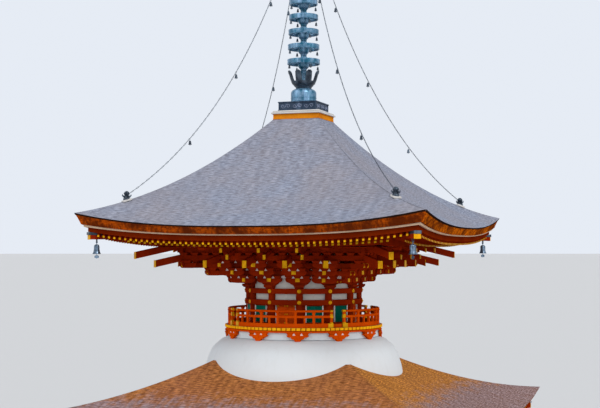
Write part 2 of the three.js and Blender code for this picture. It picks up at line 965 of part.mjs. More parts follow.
place("stone_podium", podium(), finish.stone);
place("front_steps", frontSteps(), finish.stone);
place("ground_floor", groundFloor(), finish.timber);
place("lower_frame", lowerFrame(), finish.red);
place("lower_wall_front", lowerWall(lowerWallOuter), finish.white);
place("lower_wall_right", quarter(lowerWall(lowerWallInner), 1), finish.white);
place("lower_wall_back", quarter(lowerWall(lowerWallOuter), 2), finish.white);
place("lower_wall_left", quarter(lowerWall(lowerWallInner), 3), finish.white);
placeAround("lower_doors_", sides, lowerDoors(), finish.red);
place("lower_wall_band", lowerWallBand(), finish.white);
place("lower_brackets", lowerBrackets(), finish.red);
place("lower_rafters", lowerRafters(), finish.deepRed);
place("lower_eave_board", lowerEaveBoard(), finish.red);
place("lower_roof", lowerRoof(), finish.lowerBark);
place("dome", dome(), finish.white);
place("neck_drum", neckDrum(), finish.white);
place("balcony_brackets", balconyBrackets(), finish.red);
place("balcony_deck", balconyDeck(), finish.timber);
place("balcony_railing", balconyRailing(), finish.red);
place("upper_frame", upperFrame(), finish.red);
placeAround("upper_wall_", sides, upperWall(), finish.white);
placeAround("upper_doors_", sides, upperDoors(), finish.red);
place("bracket_core", bracketCore(), finish.white);
placeAround("side_brackets_", sides, sideBrackets(), finish.deepRed);
placeAround("corner_brackets_", corners, cornerBrackets(), finish.deepRed);
place("upper_purlin", upperPurlin(), finish.deepRed);
place("upper_rafters", upperRafters(), finish.deepRed);
place("upper_eave_board", upperEaveBoard(), finish.red);
place("upper_roof", upperRoof(), finish.bark);
place("roof_cap", roofCap(), finish.orange);
place("finial_basin", dewBasin(), finish.copper);
place("finial_bowl", invertedBowl(), finish.copper);
place("finial_lotus", lotus(), finish.bronze);
place("finial_rings", mastAndRings(), finish.copper);
place("finial_jewel", jewel(), finish.copper);
placeAround("chain_", corners, chainAndAnchor(), finish.bronze);
placeAround("wind_bell_", corners, windBell(), finish.bronze);

export default pagoda;
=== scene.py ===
import math
import bpy
import bmesh
from mathutils import Matrix, Vector


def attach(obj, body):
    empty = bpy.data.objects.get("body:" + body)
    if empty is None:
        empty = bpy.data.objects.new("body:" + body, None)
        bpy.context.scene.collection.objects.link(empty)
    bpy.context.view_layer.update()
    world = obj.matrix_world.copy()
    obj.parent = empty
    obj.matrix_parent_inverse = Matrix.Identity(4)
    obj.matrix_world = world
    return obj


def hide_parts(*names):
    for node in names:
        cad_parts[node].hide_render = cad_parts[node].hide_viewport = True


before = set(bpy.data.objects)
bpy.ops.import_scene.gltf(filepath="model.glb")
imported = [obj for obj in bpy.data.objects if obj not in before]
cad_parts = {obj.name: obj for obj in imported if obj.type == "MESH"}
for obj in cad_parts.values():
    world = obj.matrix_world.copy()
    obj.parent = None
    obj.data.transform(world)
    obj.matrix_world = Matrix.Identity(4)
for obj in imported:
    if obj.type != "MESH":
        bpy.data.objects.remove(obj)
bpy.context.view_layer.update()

scene = bpy.context.scene
scene.view_settings.view_transform = "Standard"

# camera and light

cameraSet = {"place": (11.37, -32.64, 8.3), "lens": 76.6, "sensor": 36, "far": 5000, "turn": 19.37, "pitch": 2.04}
# the power of each lamp, how many degrees wide it is, and how it is turned
lamps = {"sun": (1.35, 18, (50, 0, 50)), "fill": (0.95, 60, (62, 0, -42)), "side": (0.62, 50, (80, 0, 74))}
lightSet = {"lamp": (1.0, 0.96, 0.9), "sky": (0.86, 0.91, 0.99), "skyPower": 0.92}


def makeCamera():
    camera = bpy.data.objects.new("camera", bpy.data.cameras.new("camera"))
    camera.data.lens = cameraSet["lens"]
    camera.data.sensor_width = cameraSet["sensor"]
    camera.data.clip_end = cameraSet["far"]
    camera.location = cameraSet["place"]
    camera.rotation_euler = (math.radians(90 + cameraSet["pitch"]), 0, math.radians(cameraSet["turn"]))
    scene.collection.objects.link(camera)
    scene.camera = camera


def makeLight():
    for name, (power, width, turn) in lamps.items():
        lamp = bpy.data.objects.new(name, bpy.data.lights.new(name, "SUN"))
        lamp.data.energy = power
        lamp.data.angle = math.radians(width)
        lamp.data.color = lightSet["lamp"]
        lamp.rotation_euler = [math.radians(a) for a in turn]
        scene.collection.objects.link(lamp)
    world = bpy.data.worlds.new("studio")
    world.use_nodes = True
    sky = world.node_tree.nodes["Background"]
    sky.inputs["Color"].default_value = (*lightSet["sky"], 1)
    sky.inputs["Strength"].default_value = lightSet["skyPower"]
    scene.world = world


makeCamera()
makeLight()
print("camera and light are in place")

# shader groups, each of which gives masks or heights that change over a surface


def newGroup(name, inputs, outputs):
    tree = bpy.data.node_groups.new(name, "ShaderNodeTree")
    for label, kind, value in inputs:
        socket = tree.interface.new_socket(label, in_out="INPUT", socket_type="NodeSocket" + kind)
        if value is not None:
            socket.default_value = value
    for label in outputs:
        tree.interface.new_socket(label, in_out="OUTPUT", socket_type="NodeSocketFloat")
    return tree, tree.nodes.new("NodeGroupInput").outputs, tree.nodes.new("NodeGroupOutput").inputs


# a node whose inputs are given by name, or by number as i0, i1 and so on
def addNode(tree, kind, settings=None, **links):
    node = tree.nodes.new(kind)
    for key, value in (settings or {}).items():
        setattr(node, key, value)
    for key, value in links.items():
        socket = node.inputs[int(key[1:])] if key[0] == "i" and key[1:].isdigit() else node.inputs[key]
        if isinstance(value, bpy.types.NodeSocket):
            tree.links.new(value, socket)
        else:
            socket.default_value = value
    return node


def calc(tree, operation, first, second=0.0):
    return addNode(tree, "ShaderNodeMath", {"operation": operation}, i0=first, i1=second).outputs[0]


def times(tree, value, factor):
    return calc(tree, "MULTIPLY", value, factor)


def rangeOf(tree, value, low, high, toLow=0.0, toHigh=1.0):
    return addNode(tree, "ShaderNodeMapRange", i0=value, i1=low, i2=high, i3=toLow, i4=toHigh).outputs[0]


def noiseOf(tree, vector, scale, detail, roughness=0.55):
    node = addNode(tree, "ShaderNodeTexNoise", Vector=vector, Scale=scale, Detail=detail, Roughness=roughness)
    return node.outputs[0]


def axesOf(tree, vector):
    return addNode(tree, "ShaderNodeSeparateXYZ", i0=vector).outputs


# soft patches, as of fading or dirt
def makePatches():
    tree, given, out = newGroup("patches", [("Vector", "Vector", None), ("Scale", "Float", 1.0),
                                            ("Low", "Float", 0.4), ("High", "Float", 0.65)], ["Mask"])
    noise = noiseOf(tree, given["Vector"], given["Scale"], 5.0, 0.6)
    tree.links.new(rangeOf(tree, noise, given["Low"], given["High"]), out["Mask"])
    return tree


# long fibres that run down a slope or along a board
def makeStreaks():
    tree, given, out = newGroup("streaks", [("Vector", "Vector", None), ("Stretch", "Vector", (1, 1, 1)),
                                            ("Low", "Float", 0.35), ("High", "Float", 0.7)], ["Mask"])
    place = addNode(tree, "ShaderNodeVectorMath", {"operation": "MULTIPLY"}, i0=given["Vector"], i1=given["Stretch"])
    noise = noiseOf(tree, place.outputs[0], 1.0, 4.0, 0.65)
    tree.links.new(rangeOf(tree, noise, given["Low"], given["High"]), out["Mask"])
    return tree


# thin courses down a slope: a dark line at each edge and a height that steps
def makeCourses():
    tree, given, out = newGroup("courses", [("Vector", "Vector", None), ("Pitch", "Float", 0.03),
                                            ("Waver", "Float", 0.6)], ["Line", "Height"])
    rows = calc(tree, "DIVIDE", axesOf(tree, given["Vector"])[1], given["Pitch"])
    wander = times(tree, noiseOf(tree, given["Vector"], 2.5, 2.0), given["Waver"])
    part = calc(tree, "FRACT", calc(tree, "ADD", rows, wander))
    tree.links.new(rangeOf(tree, part, 0.72, 0.98), out["Line"])
    tree.links.new(rangeOf(tree, part, 0.0, 1.0), out["Height"])
    return tree


groups = {"patches": makePatches(), "streaks": makeStreaks(), "courses": makeCourses()}


def useGroup(tree, name, **links):
    return addNode(tree, "ShaderNodeGroup", {"node_tree": groups[name]}, **links).outputs


def patches(tree, vector, scale, low, high):
    return useGroup(tree, "patches", Vector=vector, Scale=scale, Low=low, High=high)["Mask"]


def streaks(tree, vector, stretch, low, high):
    return useGroup(tree, "streaks", Vector=vector, Stretch=stretch, Low=low, High=high)["Mask"]


def mixed(tree, mask, first, second):
    node = addNode(tree, "ShaderNodeMix", {"data_type": "RGBA"}, i0=mask)
    for index, value in ((6, first), (7, second)):
        if isinstance(value, bpy.types.NodeSocket):
            tree.links.new(value, node.inputs[index])
        else:
            node.inputs[index].default_value = (*value, 1)
    return node.outputs[2]


# materials; patches are given by their scale and range, streaks by their stretch and range, and the depths say how
# much of a colour comes through


def newMaterial(name):
    material = bpy.data.materials.new(name)
    material.use_nodes = True
    tree = material.node_tree
    return material, tree, tree.nodes["Principled BSDF"], addNode(tree, "ShaderNodeTexCoord").outputs["Object"]


# colour, roughness and bumps of a material; bump is how strong and how deep the bumps are
def setSurface(tree, shader, color, roughness, height, bump, **plain):
    tree.links.new(color, shader.inputs["Base Color"])
    if isinstance(roughness, bpy.types.NodeSocket):
        tree.links.new(roughness, shader.inputs["Roughness"])
    else:
        shader.inputs["Roughness"].default_value = roughness
    for key, value in plain.items():
        shader.inputs[key.replace("_", " ")].default_value = value
    node = addNode(tree, "ShaderNodeBump", Height=height, Strength=bump[0], Distance=bump[1])
    tree.links.new(node.outputs[0], shader.inputs["Normal"])


# the second and third paints are darker copies of the same red: painted shade for the timbers under the eaves and under
# the balcony deck, and deeper painted shade for the eave boards
paints = {
    "redPaint": {"fresh": (0.73, 0.084, 0.001), "worn": (0.53, 0.049, 0.001), "scale": 1.1, "rough": (0.45, 0.65)},
    "shadedRedPaint": {"fresh": (0.31, 0.021, 0.002), "worn": (0.185, 0.012, 0.002), "scale": 1.4, "rough": (0.5, 0.7)},
    "deeperShadedRedPaint": {"fresh": (0.190, 0.018, 0.001), "worn": (0.130, 0.010, 0.001), "scale": 1.4, "rough": (0.5, 0.7)},
    "doorPaint": {"fresh": (0.78, 0.092, 0.005), "worn": (0.56, 0.055, 0.004), "scale": 1.6, "rough": (0.4, 0.6)},
    "yellowPaint": {"fresh": (1.00, 0.52, 0.010), "worn": (0.92, 0.36, 0.006), "scale": 3.0, "rough": (0.45, 0.65)},
    "creamPaint": {"fresh": (0.74, 0.56, 0.40), "worn": (0.58, 0.38, 0.24), "scale": 1.6, "rough": (0.55, 0.75)},
    "orangePaint": {"fresh": (0.72, 0.25, 0.010), "worn": (0.50, 0.13, 0.008), "scale": 2.0, "rough": (0.5, 0.7)},
    "greenPaint": {"fresh": (0.003, 0.210, 0.140), "worn": (0.003, 0.120, 0.085), "scale": 2.0, "rough": (0.4, 0.6)},
    "whitePaint": {"fresh": (0.86, 0.82, 0.80), "worn": (0.72, 0.67, 0.64), "scale": 2.0, "rough": (0.55, 0.75)},
}
paintSet = {"fade": (0.38, 0.72), "grain": ((28, 28, 9), 0.3, 0.75), "grainDepth": 0.35, "dark": 0.72,
            "bump": (0.25, 0.003)}


def paintedTimber(name, values):
    material, tree, shader, where = newMaterial(name)
    faded = patches(tree, where, values["scale"], *paintSet["fade"])
    grain = streaks(tree, where, *paintSet["grain"])
    base = mixed(tree, faded, values["fresh"], values["worn"])
    dark = [c * paintSet["dark"] for c in values["worn"]]
    color = mixed(tree, times(tree, grain, paintSet["grainDepth"]), base, dark)
    rough = rangeOf(tree, faded, 0.0, 1.0, *values["rough"])
    setSurface(tree, shader, color, rough, grain, paintSet["bump"], Specular_IOR_Level=0.0)
    return material


plasters = {
    "limePlaster": {"main": (0.625, 0.660, 0.685), "dim": (0.580, 0.603, 0.615)},
    # the second plaster is tinted warm as painted reflected light, the bounce on the round body's walls
    "paintedBouncePlaster": {"main": (0.600, 0.575, 0.530), "dim": (0.540, 0.505, 0.455)},
}
plasterSet = {"cloud": (0.9, 0.42, 0.75), "cloudDepth": 0.6, "runs": ((5, 5, 0.7), 0.52, 0.85), "runDepth": 0.20,
              "runColor": (0.42, 0.40, 0.37), "trowel": (9.0, 5.0), "rough": 0.88, "bump": (0.15, 0.01), "shine": 0.2}


def limePlaster(name, values):
    material, tree, shader, where = newMaterial(name)
    p = plasterSet
    cloud = patches(tree, where, *p["cloud"])
    runs = streaks(tree, where, *p["runs"])
    trowel = noiseOf(tree, where, *p["trowel"])
    base = mixed(tree, times(tree, cloud, p["cloudDepth"]), values["main"], values["dim"])
    color = mixed(tree, times(tree, runs, p["runDepth"]), base, p["runColor"])
    setSurface(tree, shader, color, p["rough"], trowel, p["bump"], Specular_IOR_Level=p["shine"])
    return material


barks = {
    "greyBark": {"main": (0.200, 0.235, 0.325), "light": (0.450, 0.480, 0.580), "dark": (0.064, 0.065, 0.088),
                 "patch": (0.255, 0.225, 0.240), "patchRange": (0.40, 0.62), "even": 0.42,
                 "runs": (7, 0.9, 1), "runColor": (0.130, 0.135, 0.175), "runDepth": 0.30},
    "brownBark": {"main": (0.280, 0.088, 0.018), "light": (0.720, 0.285, 0.085), "dark": (0.060, 0.014, 0.004),
                  "patch": (0.260, 0.105, 0.085), "patchRange": (0.42, 0.62), "even": 0.12,
                  "runs": (9, 1.6, 1), "runColor": (0.130, 0.040, 0.014), "runDepth": 0.45,
                  # the next pair and its depth paint sunlight as a bright orange on the right-hand side
                  "sunny": ((0.260, 0.075, 0.006), (0.980, 0.430, 0.040)), "sunnyDepth": 0.55,
                  "grey": ((0.068, 0.062, 0.085), (0.360, 0.345, 0.430)), "greyRange": (4.88, 4.58),
                  "greyDepth": 0.85, "wander": ((1.6, 5, 1), 0.3, 0.7), "wanderHigh": 0.28, "runsHigh": 0.12},
}
barkSet = {"tufts": ((6, 28, 1), 0.38, 0.62), "fine": ((26, 70, 1), 0.3, 0.7), "runRange": (0.42, 0.60),
           "patchScale": 0.55, "patchDepth": 0.25, "pitch": 0.045, "waver": 0.8, "lineDepth": 0.42, "fineDepth": 0.18,
           "rough": 0.9, "bump": (0.6, 0.014), "shine": 0.05, "sideEdge": (-0.05, 0.25)}


# 1 on the right-hand side of a square roof, where sunlight is painted as a brighter orange, and 0 on the other sides
def paintedSunSide(tree, where):
    x, y = axesOf(tree, where)[:2]
    beyond = calc(tree, "SUBTRACT", x, calc(tree, "ABSOLUTE", y))
    return rangeOf(tree, beyond, *barkSet["sideEdge"])


# painted sunlight on the right-hand side, and turning to grey down the slope
def agedBark(tree, values, where, laid, tufts, runs, base):
    paintedSunShare = times(tree, paintedSunSide(tree, where), values["sunnyDepth"])
    base = mixed(tree, paintedSunShare, base, mixed(tree, tufts, *values["sunny"]))
    wander = times(tree, streaks(tree, laid, *values["wander"]), values["wanderHigh"])
    height = calc(tree, "ADD", axesOf(tree, where)[2], wander)
    height = calc(tree, "ADD", height, times(tree, runs, values["runsHigh"]))
    aged = rangeOf(tree, height, *values["greyRange"], 0.0, values["greyDepth"])
    return mixed(tree, aged, base, mixed(tree, tufts, *values["grey"]))


# bark laid in thin courses; the fibres and courses follow the piece's own UV map
def barkShingles(name, values):
    material, tree, shader, where = newMaterial(name)
    b = barkSet
    laid = addNode(tree, "ShaderNodeUVMap", {"uv_map": "laid"}).outputs[0]
    tufts = streaks(tree, laid, *b["tufts"])
    fine = streaks(tree, laid, *b["fine"])
    runs = streaks(tree, laid, values["runs"], *b["runRange"])
    courses = useGroup(tree, "courses", Vector=laid, Pitch=b["pitch"], Waver=b["waver"])
    patch = patches(tree, where, b["patchScale"], *values["patchRange"])
    base = mixed(tree, tufts, values["dark"], values["light"])
    base = mixed(tree, values["even"], base, mixed(tree, patch, values["main"], values["patch"]))
    base = mixed(tree, times(tree, patch, b["patchDepth"]), base, values["patch"])
    if "grey" in values:
        base = agedBark(tree, values, where, laid, tufts, runs, base)
    base = mixed(tree, times(tree, runs, values["runDepth"]), base, values["runColor"])
    color = mixed(tree, times(tree, courses["Line"], b["lineDepth"]), base, values["dark"])
    color = mixed(tree, times(tree, fine, b["fineDepth"]), color, values["light"])
    height = calc(tree, "ADD", courses["Height"], fine)
    setSurface(tree, shader, color, b["rough"], height, b["bump"], Specular_IOR_Level=b["shine"])
    return material


barkCuts = {
    # each cut's second colour is painted sunlight on the right-hand side; the rim's is the same as its first
    "barkEdge": {"fresh": (0.560, 0.092, 0.003), "sunny": (0.860, 0.190, 0.003), "stain": (0.048, 0.008, 0.003),
                 "layer": (0.105, 0.015, 0.003)},
    # the dark rim is a painted shadow under the top layer of bark, near black
    "paintedRimShadow": {"fresh": (0.030, 0.012, 0.006), "sunny": (0.030, 0.012, 0.006), "stain": (0.012, 0.006, 0.005),
                "layer": (0.020, 0.009, 0.006)},
}
cutSet = {"stained": (2.1, 0.42, 0.60), "stainDepth": 0.85, "flecks": ((17, 17, 4.5), 0.46, 0.58), "fleckDepth": 0.75,
          "layers": ((5, 5, 60), 0.36, 0.64), "layerDepth": 0.6, "rough": 0.85, "bump": (0.5, 0.01)}


# the cut edge of the bark, stained in patches and lit on its right-hand side by painted sunlight, and the dark rim
# above it, a painted shadow under the top layer of bark
def cutBark(name, values):
    material, tree, shader, where = newMaterial(name)
    c = cutSet
    stained = patches(tree, where, *c["stained"])
    flecks = streaks(tree, where, *c["flecks"])
    layers = streaks(tree, where, *c["layers"])
    # painted sunlight: the cut edge is lighter and more orange on the right-hand side
    fresh = mixed(tree, paintedSunSide(tree, where), values["fresh"], values["sunny"])
    base = mixed(tree, times(tree, stained, c["stainDepth"]), fresh, values["stain"])
    base = mixed(tree, times(tree, flecks, c["fleckDepth"]), base, values["layer"])
    color = mixed(tree, times(tree, layers, c["layerDepth"]), base, values["layer"])
    setSurface(tree, shader, color, c["rough"], layers, c["bump"], Specular_IOR_Level=0.0)
    return material


metals = {
    "gilding": {"main": (0.72, 0.365, 0.003), "worn": (0.50, 0.225, 0.002), "rough": (0.42, 0.6), "metal": 0.35,
                "shine": 0.06},
    "copper": {"main": (0.016, 0.030, 0.058), "worn": (0.045, 0.070, 0.110), "rough": (0.4, 0.6), "metal": 0.20,
               "shine": 0.15},
    "patina": {"main": (0.003, 0.098, 0.172), "worn": (0.16, 0.27, 0.40), "rough": (0.22, 0.45), "metal": 0.45,
               "shine": 0.5},
    "paleCopper": {"main": (0.150, 0.190, 0.280), "worn": (0.24, 0.28, 0.40), "rough": (0.4, 0.6), "metal": 0.20,
                   "shine": 0.3},
    "darkBronze": {"main": (0.018, 0.026, 0.040), "worn": (0.070, 0.095, 0.125), "rough": (0.30, 0.55), "metal": 0.55,
                   "shine": 0.35},
    "bellBronze": {"main": (0.040, 0.065, 0.100), "worn": (0.170, 0.240, 0.330), "rough": (0.25, 0.45), "metal": 0.70,
                   "shine": 0.5},
}


metalSet = {"bloom": (7.0, 0.40, 0.70), "runs": ((9, 9, 0.9), 0.50, 0.66), "runDepth": 0.55, "lighter": 1.9,
            "bump": (0.15, 0.004)}


def agedMetal(name, values):
    material, tree, shader, where = newMaterial(name)
    bloom = patches(tree, where, *metalSet["bloom"])
    runs = streaks(tree, where, *metalSet["runs"])
    color = mixed(tree, bloom, values["main"], values["worn"])
    lighter = [min(1, c * metalSet["lighter"]) for c in values["worn"]]
    color = mixed(tree, times(tree, runs, metalSet["runDepth"]), color, lighter)
    rough = rangeOf(tree, bloom, 0.0, 1.0, *values["rough"])
    setSurface(tree, shader, color, rough, bloom, metalSet["bump"], Metallic=values["metal"],
               Specular_IOR_Level=values["shine"])
    return material


stones = {"greyStone": {"main": (0.42, 0.40, 0.37), "dark": (0.30, 0.29, 0.26)},
          "paleStone": {"main": (0.62, 0.60, 0.58), "dark": (0.48, 0.46, 0.44)}}
stoneSet = {"cloud": (1.3, 0.35, 0.7), "grain": (60.0, 4.0, 0.7), "speck": (0.48, 0.62), "speckDepth": 0.35,
            "darker": 0.6, "rough": 0.85, "bump": (0.4, 0.004)}


def dressedStone(name, values):
    material, tree, shader, where = newMaterial(name)
    s = stoneSet
    cloud = patches(tree, where, *s["cloud"])
    grain = noiseOf(tree, where, *s["grain"])
    speck = rangeOf(tree, grain, *s["speck"])
    base = mixed(tree, cloud, values["main"], values["dark"])
    color = mixed(tree, times(tree, speck, s["speckDepth"]), base, [c * s["darker"] for c in values["dark"]])
    setSurface(tree, shader, color, s["rough"], grain, s["bump"])
    return material


boards = {"bareBoards": {"main": (0.30, 0.17, 0.085), "dim": (0.20, 0.12, 0.070), "line": (0.12, 0.065, 0.035),
                         "grain": ((2, 45, 45), 0.3, 0.7), "cloud": (1.7, 0.35, 0.7), "lineDepth": 0.6, "rough": 0.6,
                         "bump": (0.3, 0.003)}}


def bareBoards(name, values):
    material, tree, shader, where = newMaterial(name)
    grain = streaks(tree, where, *values["grain"])
    cloud = patches(tree, where, *values["cloud"])
    base = mixed(tree, cloud, values["main"], values["dim"])
    color = mixed(tree, times(tree, grain, values["lineDepth"]), base, values["line"])
    setSurface(tree, shader, color, values["rough"], grain, values["bump"])
    return material


finishes = {}
for make, kinds in ((paintedTimber, paints), (limePlaster, plasters), (barkShingles, barks), (cutBark, barkCuts),
                    (agedMetal, metals), (dressedStone, stones), (bareBoards, boards)):
    for name, values in kinds.items():
        finishes[name] = make(name, values)
print("materials are made")

# mesh helpers; every shape is made in metres at its place


def turned(degrees, axis="Z"):
    return Matrix.Rotation(math.radians(degrees), 4, axis)


def at(x, y, z):
    return Matrix.Translation((x, y, z))


# turns what looks along +X towards the front
facing = turned(-90)


# the turn that lays +Z along a direction
def uprightTo(along):
    return along.to_track_quat("Z", "Y").to_matrix().to_4x4()


# the faces and the edges at some vertices, each of them once
def facesOf(verts):
    return list(dict.fromkeys(f for v in verts for f in v.link_faces))


def edgesOf(verts):
    return list(dict.fromkeys(e for v in verts for e in v.link_edges))


def vertsIn(geom):
    return [v for v in geom if isinstance(v, bmesh.types.BMVert)]


# turns new faces outwards, paints them and moves them
def settle(bm, verts, paint, move=None):
    faces = facesOf(verts)
    bmesh.ops.recalc_face_normals(bm, faces=faces)
    for face in faces:
        face.material_index = paint
    if move is not None:
        bmesh.ops.transform(bm, matrix=move, verts=verts)
    return verts


def easeEdges(bm, edges, ease):
    made = bmesh.ops.bevel(bm, geom=edges, offset=ease, segments=1, profile=0.5, affect="EDGES", material=-1)
    return list(dict.fromkeys(v for f in made["faces"] for v in f.verts))


# a block between two corners
def addBlock(bm, low, high, move=None, ease=0.006, paint=0):
    size = [b - a for a, b in zip(low, high)]
    middle = [(a + b) / 2 for a, b in zip(low, high)]
    verts = bmesh.ops.create_cube(bm, size=1, matrix=at(*middle) @ Matrix.Diagonal((*size, 1)))["verts"]
    if ease:
        verts = easeEdges(bm, edgesOf(verts), ease)
    return settle(bm, verts, paint, move)


# a block on the right of the middle line, and the same on the left
def addPair(bm, low, high, move=None, ease=0.006, paint=0):
    for side in (-1, 1):
        left, right = sorted((side * low[0], side * high[0]))
        addBlock(bm, (left, *low[1:]), (right, *high[1:]), move, ease, paint)


# a square block round the upright axis
def addSlab(bm, half, low, high, move=None, ease=0.006, paint=0):
    addBlock(bm, (-half, -half, low), (half, half, high), move, ease, paint)


# a side outline in X and Z, given a thickness along Y
def addOutline(bm, points, thick, move=None, ease=0.0, paint=0):
    verts = [bm.verts.new((x, -thick / 2, z)) for x, z in points]
    far = vertsIn(bmesh.ops.extrude_face_region(bm, geom=[bm.faces.new(verts)])["geom"])
    bmesh.ops.translate(bm, verts=far, vec=(0, thick, 0))
    verts += far
    if ease:
        rims = [e for e in edgesOf(verts) if abs(e.verts[0].co.y - e.verts[1].co.y) < 1e-6]
        verts = easeEdges(bm, rims, ease)
    return settle(bm, verts, paint, move)


def mirrored(points):
    return points + [(-x, z) for x, z in reversed(points)]


# a profile of (radius, height), turned round an upright axis; one that starts on the axis is left open
def addTurned(bm, profile, steps, move=None, paint=0, sweep=360.0, start=0.0):
    closed, full = profile[0][0] > 0, sweep == 360.0
    ring = [bm.verts.new((r, 0, z)) for r, z in profile]
    geom = ring + [bm.edges.new(pair) for pair in zip(ring, ring[1:] + ring[:1] if closed else ring[1:])]
    if not full:
        geom.append(bm.faces.new(ring))
    before = set(bm.verts) - set(ring)
    bmesh.ops.rotate(bm, cent=(0, 0, 0), matrix=turned(start).to_3x3(), verts=ring)
    bmesh.ops.spin(bm, geom=geom, cent=(0, 0, 0), axis=(0, 0, 1), angle=math.radians(sweep), steps=steps,
                   use_merge=full)
    bmesh.ops.remove_doubles(bm, verts=[v for v in bm.verts if v not in before], dist=1e-5)
    return settle(bm, [v for v in bm.verts if v not in before], paint, move)


# a round bar between two points
def addRod(bm, radius, start, end, steps, move=None, paint=0):
    along = Vector(end) - Vector(start)
    place = Matrix.Translation((Vector(start) + Vector(end)) / 2) @ uprightTo(along)
    made = bmesh.ops.create_cone(bm, cap_ends=True, segments=steps, radius1=radius, radius2=radius,
                                 depth=along.length, matrix=place)
    return settle(bm, made["verts"], paint, move)


# a gilt stud or disc whose face looks along +X, with a rounded rim
def addDisc(bm, radius, thick, move):
    profile = [(0, 0), (radius, 0), (radius, thick * 0.4), (radius * 0.75, thick), (0, thick * 1.15)]
    addTurned(bm, profile, 20, move @ turned(90, "Y"), 1)


def asMesh(bm):
    mesh = bpy.data.meshes.new("shape")
    bm.to_mesh(mesh)
    bm.free()
    return mesh


def asShape(build):
    bm = bmesh.new()
    build(bm)
    return asMesh(bm)


def stamp(bm, shape, place):
    copy = shape.copy()
    copy.transform(place)
    bm.from_mesh(copy)
    bpy.data.meshes.remove(copy)


def fourTimes(bm, geom=None):
    whole = geom or (bm.verts[:] + bm.edges[:] + bm.faces[:])
    for quarter in (1, 2, 3):
        copied = bmesh.ops.duplicate(bm, geom=whole)["geom"]
        bmesh.ops.rotate(bm, cent=(0, 0, 0), matrix=turned(90 * quarter).to_3x3(), verts=vertsIn(copied))


# the power with which everything rises towards the corners
cornerPower = 2.6


# how far out a point of a square ring lies, and how near to a corner
def shareOf(co):
    half = max(abs(co.x), abs(co.y))
    return half, min(abs(co.x), abs(co.y)) / half if half else 0.0


def liftCorners(verts, lift):
    for v in verts:
        half, share = shareOf(v.co)
        v.co.z += lift(half) * share ** cornerPower


# a square ring from a closed profile of (half width, height, lift at the corner)
def addSquareRing(bm, profile, across=24, paint=0):
    rows = len(profile)
    made = bmesh.ops.create_grid(bm, x_segments=across, y_segments=rows, size=1)["verts"]
    for v in made:
        half, base, lift = profile[round((v.co.y + 1) / 2 * rows) % rows]
        share = math.sin(v.co.x * math.pi / 2)
        v.co = Vector((share * half, -half, base + lift * abs(share) ** cornerPower))
    bmesh.ops.remove_doubles(bm, verts=made, dist=1e-6)
    side = [v for v in made if v.is_valid]
    before = set(bm.verts) - set(side)
    fourTimes(bm, side + edgesOf(side) + facesOf(side))
    bmesh.ops.remove_doubles(bm, verts=[v for v in bm.verts if v not in before], dist=1e-5)
    return settle(bm, [v for v in bm.verts if v not in before], paint)


# makes the object, dresses it, and joins it to its body and the solids that it replaces
def finishPiece(name, bm, looks, replaced=(), body="pagoda", smoothAngle=None):
    mesh = bm if isinstance(bm, bpy.types.Mesh) else asMesh(bm)
    mesh.name = name
    for look in looks:
        mesh.materials.append(finishes[look])
    if smoothAngle:
        mesh.shade_smooth()
        mesh.set_sharp_from_angle(angle=math.radians(smoothAngle))
    piece = bpy.data.objects.new(name, mesh)
    scene.collection.objects.link(piece)
    if replaced:
        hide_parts(*replaced)
    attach(piece, body)
    print("made", name, len(mesh.polygons))
    return piece


sides = ["front", "right", "back", "left"]
corners = ["front_right", "back_right", "back_left", "front_left"]


# one mesh, turned to each side or corner, rides and replaces its own node there
def makeAround(prefix, names, build, looks, nodes=None, smoothAngle=None, bodies=None):
    first = asShape(build)
    for quarter, name in enumerate(names):
        mesh = first.copy()
        mesh.transform(turned(90 * quarter))
        finishPiece(prefix + name, mesh, looks, [nodes + name] if nodes else [],
                    bodies + name if bodies else "pagoda", smoothAngle)
    bpy.data.meshes.remove(first)


def dressNode(node, look):
    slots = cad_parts[node].material_slots
    for index in range(len(slots)):
        slots[index].material = finishes[look]


# the two bark roofs


# how far the corners rise, as a function of the distance from the middle
def liftOf(most, start, run):
    return lambda half: most * (max(0, half - start) / run) ** 2


upperRoof = {"name": "upper", "bark": "greyBark", "top": 11.787, "start": 0.642, "steep": 1.1, "bend": 0.1123,
             "lift": 0.351, "liftFrom": 1.0, "edge": 4.5, "under": 4.37, "underTop": 8.6653, "innerEdge": 4.12,
             "shell": 0.19, "inner": (3.7, 2.9, 2.1, 1.35, 0.8), "rows": 22, "eaveLift": liftOf(0.257, 1.7, 2.62)}
lowerRoof = {"name": "lower", "bark": "brownBark", "top": 5.410, "start": 1.86, "steep": 0.5543, "bend": 0.0647,
             "lift": 0.330, "liftFrom": 2.0, "edge": 5.4949, "under": 5.37, "underTop": 3.7653, "innerEdge": 5.1,
             "shell": 0.17, "inner": (4.6, 3.9, 3.0, 2.2, 1.86), "rows": 20, "eaveLift": liftOf(0.250, 2.6, 2.7),
             "hole": {"radius": 2.6603, "middle": 4.7, "deep": 3.4}}
# the small steps of the cut edge: how far down it, and how far in
cutSteps = ((0.16, 0.0), (0.18, 0.014), (0.36, 0.014), (0.37, 0.020), (0.62, 0.020), (0.63, 0.026), (0.86, 0.026),
            (0.87, 0.032))
# how much of the cut edge, from the top, is painted near black as the shadow under the top layer
rimShadowShare = 0.17
laidSet = {"slope": 0.75, "shift": 7.3}


def slopeTop(r, half):
    run = half - r["start"]
    return r["top"] - r["steep"] * run + r["bend"] * run * run


